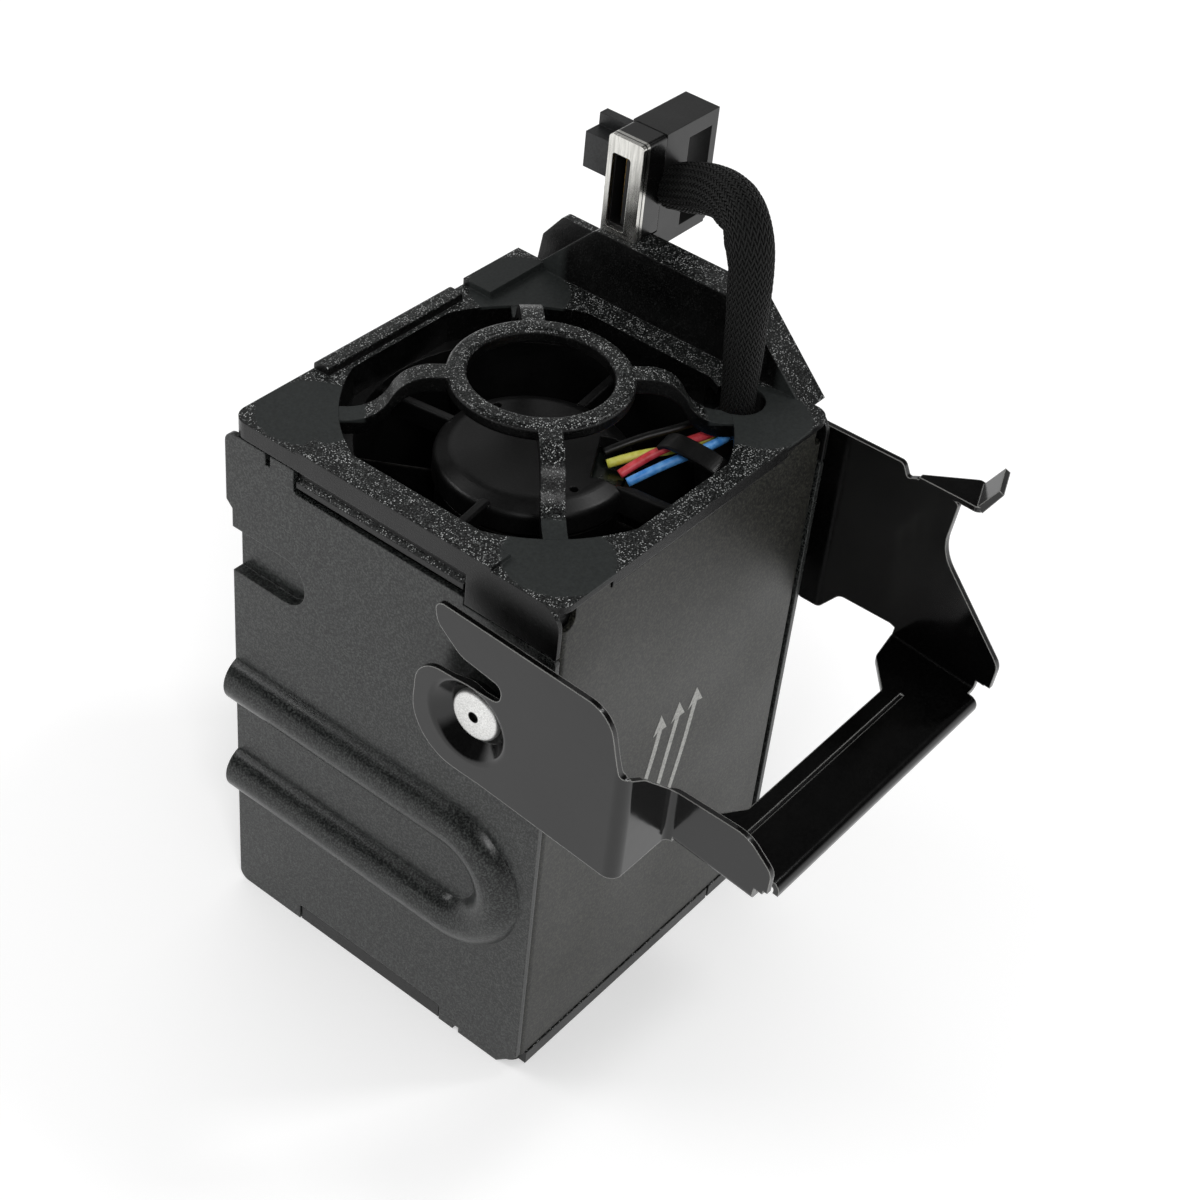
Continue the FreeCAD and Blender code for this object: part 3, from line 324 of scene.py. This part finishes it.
ductBlack = {
    "dark": shade(2, 2, 2), "light": shade(14, 14, 14), "grain": 0.35, "depth": 0.012,
    "patch": 10.0, "dust": 0.08, "dustTone": shade(40, 39, 38), "rough": (0.36, 0.46),
    "corner": 0.2,
}
impellerBlack = {
    "dark": shade(2, 2, 2), "light": shade(12, 12, 12), "grain": 0.6, "depth": 0.004,
    "patch": 8.0, "dust": 0.08, "dustTone": shade(44, 42, 40), "rough": (0.3, 0.4),
    "wave": (4.0, 0.01), "edgeTone": shade(36, 35, 33), "edgeWidth": 0.5, "corner": 0.2,
}
connectorBlack = {
    "dark": shade(6, 6, 6), "light": shade(22, 22, 22), "grain": 0.3, "depth": 0.008,
    "patch": 7.0, "dust": 0.1, "dustTone": shade(50, 50, 48), "rough": (0.3, 0.42),
    "edgeTone": shade(50, 50, 48), "edgeWidth": 0.15, "corner": 0.18,
}
plugGrey = {
    "dark": shade(16, 17, 18), "light": shade(34, 35, 36), "grain": 0.35, "depth": 0.01,
    "patch": 6.0, "rough": (0.36, 0.5), "corner": 0.18,
}
dress(sparkPlastic("frameSpark", frameSpark), "top_frame", "bottom_guard")
dress(finish("ductBlack", ductBlack), "upper_fan_frame", "lower_fan_frame", "upper_motor_base",
      "lower_motor_base", "flow_straightener")
dress(finish("impellerBlack", impellerBlack), "upper_impeller", "lower_impeller")
dress(finish("connectorBlack", connectorBlack), "connector_housing")
dress(finish("plugGrey", plugGrey), "connector_plug")
print("paint and mouldings ready")

# Metals and the parts inside the motors
brightSheet = {
    "lip": 35.9, "lipTone": shade(5, 5, 5),
    "dark": shade(196, 195, 190), "light": shade(226, 225, 220), "grain": 0.35, "depth": 0.003,
    "stretch": (1.0, 1.0, 0.08), "patch": 5.0, "rough": (0.16, 0.3), "metallic": 1.0,
    "wave": (3.0, 0.008), "corner": 0.12,
}
rivetSteel = {
    "hollow": 1.05, "hollowShadeTone": shade(10, 10, 10), "pivot": (-20.8, 77.4),
    "dark": shade(206, 206, 204), "light": shade(240, 240, 238), "grain": 0.25, "depth": 0.004,
    "patch": 3.0, "rough": (0.32, 0.48), "metallic": 1.0, "edgeTone": shade(150, 150, 148),
    "edgeWidth": 0.25, "corner": 0.15,
}
yokeSteel = {
    "dark": shade(150, 150, 150), "light": shade(186, 186, 184), "grain": 0.3, "depth": 0.004,
    "stretch": (1.0, 1.0, 0.1), "patch": 6.0, "rough": (0.28, 0.42), "metallic": 1.0,
}
shaftSteel = {
    "dark": shade(184, 184, 186), "light": shade(214, 214, 214), "grain": 0.2, "depth": 0.002,
    "stretch": (0.2, 0.2, 1.0), "patch": 4.0, "rough": (0.14, 0.24), "metallic": 1.0,
}
bearingSteel = {
    "dark": shade(190, 190, 192), "light": shade(222, 222, 222), "grain": 0.3, "depth": 0.001,
    "patch": 4.0, "rough": (0.08, 0.18), "metallic": 1.0,
}
turnedBrass = {
    "dark": shade(178, 142, 70), "light": shade(208, 172, 98), "grain": 0.2, "depth": 0.004,
    "stretch": (0.1, 0.1, 1.0), "patch": 4.0, "rough": (0.22, 0.34), "metallic": 1.0,
}
laminations = {
    "dark": shade(96, 96, 98), "light": shade(134, 134, 134), "grain": 0.5, "depth": 0.02,
    "stretch": (0.05, 0.05, 1.0), "patch": 4.0, "rough": (0.36, 0.52), "metallic": 1.0,
}
magnetRing = {
    "dark": shade(44, 42, 41), "light": shade(66, 64, 62), "grain": 0.3, "depth": 0.006,
    "patch": 5.0, "rough": (0.5, 0.64), "edgeTone": shade(86, 84, 82), "corner": 0.15,
}
goldPlate = {
    "dark": shade(196, 152, 70), "light": shade(226, 186, 104), "grain": 0.3, "depth": 0.001,
    "patch": 3.0, "rough": (0.14, 0.24), "metallic": 1.0,
}
# kept near black: painted shade where the board shows through the notch in the motor cap
boardDark = {
    "dark": shade(5, 9, 7), "light": shade(12, 20, 15), "grain": 1.6, "depth": 0.02,
    "stretch": (1.0, 0.2, 1.0), "patch": 5.0, "rough": (0.24, 0.34), "coat": 0.4,
}
copperWire = {
    "dark": shade(112, 46, 22), "light": shade(206, 116, 66), "grain": 0.42, "depth": 0.12,
    "stretch": (0.06, 0.06, 1.0), "patch": 4.0, "rough": (0.26, 0.38), "metallic": 1.0,
    "coat": 0.5,
}
insideFinishes = {
    "rotor_yoke": ("yokeSteel", yokeSteel),
    "rotor_magnet": ("magnetRing", magnetRing),
    "fan_shaft": ("shaftSteel", shaftSteel),
    "ball_bearings": ("bearingSteel", bearingSteel),
    "bearing_tube": ("turnedBrass", turnedBrass),
    "stator_core": ("laminations", laminations),
    "stator_windings": ("copperWire", copperWire),
    "motor_board": ("boardDark", boardDark),
}
for part, (name, look) in insideFinishes.items():
    dress(finish(name, look), "lower_" + part, "upper_" + part)
gold = finish("goldPlate", goldPlate)
dress(gold, "connector_contacts", "plug_pins")
dress(finish("brightSheet", brightSheet), "connector_shield")
dress(finish("rivetSteel", rivetSteel), "left_pivot_rivet", "right_pivot_rivet")
print("metals ready")


# Meshes made here
def addMesh(name, points, faces, material, smooth=True):
    mesh = bpy.data.meshes.new(name)
    mesh.from_pydata([tuple(point) for point in points], [], faces)
    tidy = bmesh.new()
    tidy.from_mesh(mesh)
    bmesh.ops.recalc_face_normals(tidy, faces=tidy.faces[:])
    tidy.to_mesh(mesh)
    tidy.free()
    mesh.polygons.foreach_set("use_smooth", [smooth] * len(mesh.polygons))
    mesh.materials.append(material)
    made = bpy.data.objects.new(name, mesh)
    bpy.context.scene.collection.objects.link(made)
    return made


def splinePoints(name, controls):        # points of the smooth line that a cord follows
    data = bpy.data.curves.new(name, "CURVE")
    data.dimensions = "3D"
    data.resolution_u = 24
    spline = data.splines.new("NURBS")
    spline.points.add(len(controls) - 1)
    for point, place in zip(spline.points, controls):
        point.co = (*mm(*place), 1.0)
    spline.order_u = 3
    spline.use_endpoint_u = True
    line = bpy.data.objects.new(name, data)
    bpy.context.scene.collection.objects.link(line)
    mesh = bpy.data.meshes.new_from_object(line)
    points = [vertex.co.copy() for vertex in mesh.vertices]
    bpy.data.meshes.remove(mesh)
    bpy.data.objects.remove(line)
    bpy.data.curves.remove(data)
    return points


def evenly(points, step):                # the same line, at equal steps along its length
    runs = [0.0]
    for first, second in zip(points, points[1:]):
        runs.append(runs[-1] + (second - first).length)
    count = max(2, round(runs[-1] / step))
    made, k = [], 0
    for i in range(count + 1):
        along = runs[-1] * i / count
        while k < len(points) - 2 and runs[k + 1] < along:
            k += 1
        share = (along - runs[k]) / max(runs[k + 1] - runs[k], 1e-9)
        made.append(points[k].lerp(points[k + 1], min(1.0, share)))
    return made, runs[-1]


def carriedFrames(points, side):         # side and up directions carried along a line untwisted
    frames = []
    for i, point in enumerate(points):
        ahead = points[min(i + 1, len(points) - 1)] - points[max(i - 1, 0)]
        ahead.normalize()
        side = (side - ahead * side.dot(ahead)).normalized()
        frames.append((point, side.copy(), ahead.cross(side).normalized()))
    return frames


def ringFaces(first, rings, size):       # the sides and both ends of a run of rings
    faces = []
    for i in range(rings - 1):
        for k in range(size):
            a, b = first + i * size + k, first + i * size + (k + 1) % size
            faces.append((a, b, b + size, a + size))
    faces.append(tuple(first + k for k in range(size))[::-1])
    faces.append(tuple(first + (rings - 1) * size + k for k in range(size)))
    return faces


def tube(frames, radiusAt, around):      # points and faces of a closed round tube
    points = []
    for i, (middle, side, up) in enumerate(frames):
        share = i / (len(frames) - 1)
        for k in range(around):
            angle = 2 * math.pi * k / around
            out = side * math.cos(angle) + up * math.sin(angle)
            points.append(middle + out * radiusAt(share, out))
    return points, ringFaces(0, len(frames), around)


# The braided sleeve
sleeveRoute = [
    (43.2, 9.3, 123.6),
    (42.4, 4.6, 125.6),
    (39.6, -2.4, 129.2),
    (35.6, -9.0, 130.9),
    (31.0, -14.6, 130.2),
    (28.9, -17.2, 124.4),
    (27.2, -18.7, 116.8),
    (26.8, -19.4, 109.0),
    (26.5, -19.8, 101.8),
]
sleeve = {
    "strands": 44,                       # in each direction
    "twist": 0.13,                       # radians per millimetre
    "width": 0.47,
    "crown": 0.13,
    "overUnder": 0.1,
    "step": 0.32,
    "radii": [(0.0, 3.9), (0.1, 4.3), (0.32, 4.2), (0.5, 3.9), (0.75, 3.4), (1.0, 2.9)],
    "folds": [(0.36, 0.03, 0.5), (0.43, 0.02, -1.0), (0.5, 0.03, 0.55), (0.58, 0.02, -0.6),
              (0.66, 0.03, 0.3)],
    "foldSide": (0.15, 0.75, -0.65),     # the inside of the bend
    "core": 0.75,                        # the core is this much of the braid's radius
    "coreSides": 32,
    "sink": 0.3,                         # how far the strands' undersides lie in the radius
    "waveGain": 1.8,                     # above 1, strands stay flat between two crossings
    # a strand's outline: share of half its width, share of its crown
    "section": [(-1.0, 0.0), (-0.55, 0.75), (0.0, 1.0), (0.55, 0.75), (1.0, 0.0)],
    # painted light and shade across each strand: crowns lighter, edges darker
    "strandEdgeShade": shade(1, 1, 1), "strandCrownLight": shade(24, 25, 24), "threadRange": (0.55, 1.0),
    "faded": shade(20, 21, 19), "fuzz": 0.18, "fuzzShare": 0.8, "threadDepth": 0.035,
}


def between(stops, share):
    for (low, first), (high, second) in zip(stops, stops[1:]):
        if share <= high:
            ease = (share - low) / (high - low)
            ease = ease * ease * (3 - 2 * ease)
            return first + (second - first) * ease
    return stops[-1][1]


def sleeveRadius(share, out):
    radius = between(sleeve["radii"], share)
    inside = max(0.0, out.dot(Vector(sleeve["foldSide"]).normalized()))
    for middle, width, depth in sleeve["folds"]:
        radius += depth * inside ** 2 * math.exp(-((share - middle) / width) ** 2)
    return mm(radius)


def braidMaterial():
    made, tree, shader, place = startMaterial("braid", {
        "IOR": 1.45,
        "Specular IOR Level": 0.3,
        "Sheen Weight": 0.03,
        "Sheen Roughness": 0.4,
        "Sheen Tint": (0.5, 0.5, 0.5, 1.0),
    })
    yarn = addNode(tree, "UVMap", uv_map="yarn").outputs[0]
    axes = addNode(tree, "SeparateXYZ", {0: yarn})
    threads = math2(tree, "SINE", math2(tree, "MULTIPLY", axes.outputs[0], math.pi))
    fuzz = noise(tree, place, sleeve["fuzz"], 3.0)
    patch = noise(tree, place, 6.0, 3.0)
    # painted light and shade: strand crowns lighter, strand edges darker
    lit = remap(tree, threads, *sleeve["threadRange"])
    colour = mixTone(tree, lit, sleeve["strandEdgeShade"], sleeve["strandCrownLight"])
    colour = mixTone(tree, remap(tree, patch, 0.5, 0.8, 0.0, 0.2), colour, sleeve["faded"])
    tree.links.new(colour, shader.inputs["Base Color"])
    tree.links.new(remap(tree, fuzz, 0.3, 0.7, 0.5, 0.7), shader.inputs["Roughness"])
    height = math2(tree, "ADD", threads, math2(tree, "MULTIPLY", fuzz, sleeve["fuzzShare"]))
    tree.links.new(bump(tree, height, mm(sleeve["threadDepth"])), shader.inputs["Normal"])
    return made


def strandPoints(frames, length, number, way):  # way is 1 or -1, for the two directions
    last = len(frames) - 1
    half = mm(sleeve["width"]) / 2
    points = []
    for i, (middle, side, up) in enumerate(frames):
        turn = way * sleeve["twist"] * length * 1000.0 * i / last
        angle = 2 * math.pi * number / sleeve["strands"] + turn
        out = side * math.cos(angle) + up * math.sin(angle)
        around = up * math.cos(angle) - side * math.sin(angle)
        ahead = frames[min(i + 1, last)][0] - frames[max(i - 1, 0)][0]
        ahead.normalize()
        radius = sleeveRadius(i / last, out)
        rise = way * sleeve["twist"] * radius * 1000.0
        across = (around - ahead * rise).normalized()
        crossing = 2 * number + sleeve["strands"] * turn / math.pi
        wave = sleeve["waveGain"] * math.cos(math.pi / 2 * crossing - math.pi / 4)
        lift = mm(sleeve["overUnder"]) * max(-1.0, min(1.0, wave)) * way
        for offset, crown in sleeve["section"]:
            height = radius - mm(sleeve["sink"]) + lift + mm(sleeve["crown"]) * crown
            points.append(middle + out * height + across * (half * offset))
    return points


def braidedSleeve():
    line, length = evenly(splinePoints("sleeveLine", sleeveRoute), mm(sleeve["step"]))
    frames = carriedFrames(line, Vector((0.0, 0.0, 1.0)))

    def coreRadius(share, out):
        return sleeveRadius(share, out) * sleeve["core"]

    points, faces = tube(frames, coreRadius, sleeve["coreSides"])
    strips = [0.0] * len(points)         # place across the strand, 0 to 1, for the material
    ring = [offset * 0.5 + 0.5 for offset, crown in sleeve["section"]]
    for way in (1, -1):
        for number in range(sleeve["strands"]):
            faces += ringFaces(len(points), len(frames), len(ring))
            points += strandPoints(frames, length, number, way)
            strips += ring * len(frames)
    made = addMesh("cableSleeve", points, faces, braidMaterial())
    layer = made.data.uv_layers.new(name="yarn")
    for loop in made.data.loops:
        layer.data[loop.index].uv = (strips[loop.vertex_index], 0.0)
    return made, line, length


cableSleeve, sleeveLine, sleeveLength = braidedSleeve()
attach(cableSleeve, "case")
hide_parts("cable_sleeve")
print("braided sleeve %.1f mm long" % (sleeveLength * 1000))

# The motor leads
leads = {
    "diameter": 1.5, "sides": 20, "step": 0.35,
    "routes": {
        "yellow": [
            (6.6, -9.6, 95.8), (10.4, -12.8, 97.5), (14.8, -16.6, 98.0),
            (20.4, -19.2, 98.5), (25.8, -20.3, 98.9),
        ],
        "red": [
            (5.9, -12.7, 95.8), (11.0, -15.0, 98.7), (16.6, -18.2, 99.9),
            (21.6, -20.1, 100.2), (26.0, -20.9, 100.5),
        ],
        "blue": [
            (5.1, -14.9, 95.8), (9.9, -18.0, 98.4), (15.0, -20.7, 99.7),
            (20.4, -21.9, 100.0), (25.6, -22.6, 100.2),
        ],
        "black": [
            (8.4, -7.4, 95.9), (12.9, -10.6, 98.1), (17.6, -14.4, 99.5),
            (22.2, -16.5, 100.1), (26.6, -17.2, 100.5),
        ],
    },
    "colours": {
        "yellow": (shade(206, 204, 70), shade(222, 222, 116)),
        "red": (shade(196, 44, 50), shade(222, 78, 88)),
        "blue": (shade(60, 136, 214), shade(104, 172, 236)),
        "black": (shade(3, 3, 3), shade(12, 12, 12)),
    },
}


def insulation(name, dark, light):
    return finish(name, {
        "dark": dark, "light": light, "grain": 1.1, "depth": 0.012, "patch": 2.0,
        "rough": (0.36, 0.5), "wave": (1.6, 0.03), "corner": 0.05,
    })


for colour, route in leads["routes"].items():
    line, length = evenly(splinePoints(colour + "Line", route), mm(leads["step"]))
    frames = carriedFrames(line, Vector((0.0, 0.0, 1.0)))
    radius = mm(leads["diameter"] / 2)
    points, faces = tube(frames, lambda share, out: radius, leads["sides"])
    material = insulation(colour + "Insulation", *leads["colours"][colour])
    lead = addMesh(colour + "Lead", points, faces, material)
    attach(lead, "case")
    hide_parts("lead_" + colour)
    print("%s lead %.1f mm long" % (colour, length * 1000))
print("leads ready")

# The hook that holds the leads down
leadHook = {
    "line": [(13.4, -28.6, 98.1), (13.0, -27.6, 100.4), (12.7, -25.2, 101.5), (12.4, -22.0, 101.8),
             (12.3, -19.0, 101.8), (12.3, -16.9, 101.5), (12.3, -16.0, 100.5)],
    "width": 3.8,
    "thick": 0.8,
    "rim": 0.2,                          # how far its long edges are cut back
    "step": 0.5,
}


def flatStrip(name, line, width, thick, material):
    frames = carriedFrames(line, Vector((1.0, 0.0, 0.0)))
    half, rim, deep = mm(width) / 2, mm(leadHook["rim"]), mm(thick) / 2
    outline = [(-half + rim, -deep), (half - rim, -deep), (half, -deep + rim), (half, deep - rim),
               (half - rim, deep), (-half + rim, deep), (-half, deep - rim), (-half, -deep + rim)]
    points = []
    for middle, side, up in frames:
        points += [middle + side * u + up * v for u, v in outline]
    faces = ringFaces(0, len(frames), len(outline))
    return addMesh(name, points, faces, material, smooth=False)


hookLine = evenly(splinePoints("hookLine", leadHook["line"]), mm(leadHook["step"]))[0]
hook = flatStrip("leadHook", hookLine, leadHook["width"], leadHook["thick"],
                 finish("hookBlack", ductBlack))
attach(hook, "case")

# The air arrows on the front cover
airArrows = {
    "face": -32.8,
    "sunk": 0.01,
    "thick": 0.04,
    "half": 0.62,                        # half the shaft's width
    "inkDark": shade(120, 120, 117), "inkLight": shade(178, 178, 174),
    # each arrow's tip, left and right barbs, then the middle of its shaft downwards, as X and Z
    "shapes": [
        [(-3.53, 63.03), (-5.13, 59.15), (-1.6, 59.25), (-3.35, 59.5), (-4.2, 55.2), (-5.35, 50.7),
         (-6.7, 45.2), (-8.3, 39.0)],
        [(1.33, 62.74), (-0.29, 59.0), (3.33, 59.1), (1.34, 59.4), (0.27, 54.4), (-1.45, 46.5),
         (-2.4, 42.8), (-3.4, 39.0)],
        [(6.04, 62.93), (4.28, 59.0), (8.21, 59.1), (6.07, 59.6), (4.57, 51.9), (3.4, 47.2),
         (2.1, 42.6), (1.15, 39.0)],
    ],
}


def inkMaterial():
    made, tree, shader, place = startMaterial("arrowInk", {"IOR": 1.5})
    fine = noise(tree, place, 0.3, 3.0)
    lit = remap(tree, fine, 0.3, 0.7)
    colour = mixTone(tree, lit, airArrows["inkDark"], airArrows["inkLight"])
    tree.links.new(colour, shader.inputs["Base Color"])
    tree.links.new(remap(tree, fine, 0.3, 0.7, 0.5, 0.65), shader.inputs["Roughness"])
    tree.links.new(bump(tree, fine, mm(0.01)), shader.inputs["Normal"])
    return made


def arrowMesh():
    points, faces = [], []
    near, far = airArrows["face"] + airArrows["sunk"], airArrows["face"] - airArrows["thick"]
    half = airArrows["half"]
    for tip, left, right, *shaft in airArrows["shapes"]:
        outline = [tip, right]
        rows = [[], []]
        for i, (x, z) in enumerate(shaft):
            before, after = shaft[max(i - 1, 0)], shaft[min(i + 1, len(shaft) - 1)]
            run = Vector((after[0] - before[0], after[1] - before[1])).normalized()
            for row, side in zip(rows, (1, -1)):
                row.append((x - side * run.y * half, z + side * run.x * half))
        outline += rows[0] + rows[1][::-1] + [left]
        first, size = len(points), len(outline)
        points += [mm(x, near, z) for x, z in outline] + [mm(x, far, z) for x, z in outline]
        for i in range(size):
            a, b = first + i, first + (i + 1) % size
            faces.append((a, b, b + size, a + size))
        count = len(shaft)
        for base in (first, first + size):
            end = base + 1 + 2 * count
            faces.append((base, base + 1, base + 2, end, end + 1))
            for i in range(count - 1):
                a, b = base + 2 + i, end - i
                faces.append((a, a + 1, b - 1, b))
    return addMesh("airArrows", points, faces, inkMaterial(), smooth=False)


arrows = arrowMesh()
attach(arrows, "case")
print("hook and arrows ready")

# The floor, lamps and world
studio = {
    "floorSize": 3.0,
    "floorDrop": 0.05,                   # millimetres under the case
    "floorTones": ((0.79, 0.79, 0.79, 1.0), (0.81, 0.81, 0.81, 1.0)),
    "floorGlow": 0.34,                   # keeps the floor white between the lamps
    "floorFar": 0.6,                     # glow far from the object, where the lamps fade
    "floorFade": (0.35, 1.4),
    "skyDiffuse": 0.6,
    "skyLow": 1.0,                       # what gloss sees at the horizon
    "skyHigh": 0.05,                     # and overhead
    "skyTurn": 0.32,                     # sine of the height where it has faded
    "skyBase": 0.02,                     # and where it starts to
    "aim": (0.0, 0.0, 60.0),             # what the lamps point at, in millimetres
}
# name, direction from there, distance, size and watts
lamps = [
    ("bigSoftbox", (0.50, 0.62, 0.60), 1.0, (0.75, 0.75), 0.6),
    ("keyLamp", (-0.5, -0.6, 0.7), 1.0, (0.2, 0.2), 2.0),
    ("sparkLamp", (0.45, -0.38, 0.78), 1.0, (0.14, 0.14), 1.6),
    ("rearStrip", (-0.35, 0.65, 0.67), 1.0, (0.4, 0.12), 1.4),
]


def addFloor():
    half = studio["floorSize"]
    level = cadLow.z - mm(studio["floorDrop"])
    corners = ((-half, -half), (half, -half), (half, half), (-half, half))
    points = [(x, y, level) for x, y in corners]
    made, tree, shader, place = startMaterial("floorWhite", {"Roughness": 0.9})
    colour = mixTone(tree, noise(tree, place, 400.0, 2.0), *studio["floorTones"])
    tree.links.new(colour, shader.inputs["Base Color"])
    away = addNode(tree, "VectorMath", {0: place}, operation="LENGTH").outputs["Value"]
    glow = remap(tree, away, *studio["floorFade"], studio["floorGlow"], studio["floorFar"])
    shader.inputs["Emission Color"].default_value = (1.0, 1.0, 1.0, 1.0)
    shader.inputs["Specular IOR Level"].default_value = 0.0
    tree.links.new(glow, shader.inputs["Emission Strength"])
    return addMesh("studioFloor", points, [(0, 1, 2, 3)], made, smooth=False)


def addLamp(name, direction, distance, size, power):
    data = bpy.data.lights.new(name, "AREA")
    data.shape = "RECTANGLE"
    data.size, data.size_y = size
    data.energy = power
    lamp = bpy.data.objects.new(name, data)
    way = Vector(direction).normalized()
    lamp.location = Vector(mm(*studio["aim"])) + way * distance
    lamp.rotation_mode = "QUATERNION"
    lamp.rotation_quaternion = (-way).to_track_quat("-Z", "Y")
    lamp.visible_camera = False
    bpy.context.scene.collection.objects.link(lamp)


def addWorld():
    world = bpy.data.worlds.new("studioWorld")
    world.use_nodes = True
    tree = world.node_tree
    tree.nodes.clear()
    seen = addNode(tree, "LightPath").outputs
    height = addNode(tree, "SeparateXYZ", {0: addNode(tree, "TexCoord").outputs["Generated"]})
    span = (studio["skyBase"], studio["skyTurn"])
    sky = remap(tree, height.outputs[2], *span, studio["skyLow"], studio["skyHigh"])
    level = mixTone(tree, seen["Is Glossy Ray"], (studio["skyDiffuse"],) * 3 + (1.0,), sky)
    plain = math2(tree, "MAXIMUM", seen["Is Camera Ray"], seen["Is Transmission Ray"])
    level = mixTone(tree, plain, level, (1.0, 1.0, 1.0, 1.0))
    light = addNode(tree, "Background", {"Color": level, "Strength": 1.0})
    out = addNode(tree, "OutputWorld")
    tree.links.new(light.outputs[0], out.inputs["Surface"])
    bpy.context.scene.world = world


addFloor()
for lamp in lamps:
    addLamp(*lamp)
addWorld()
print("studio ready")
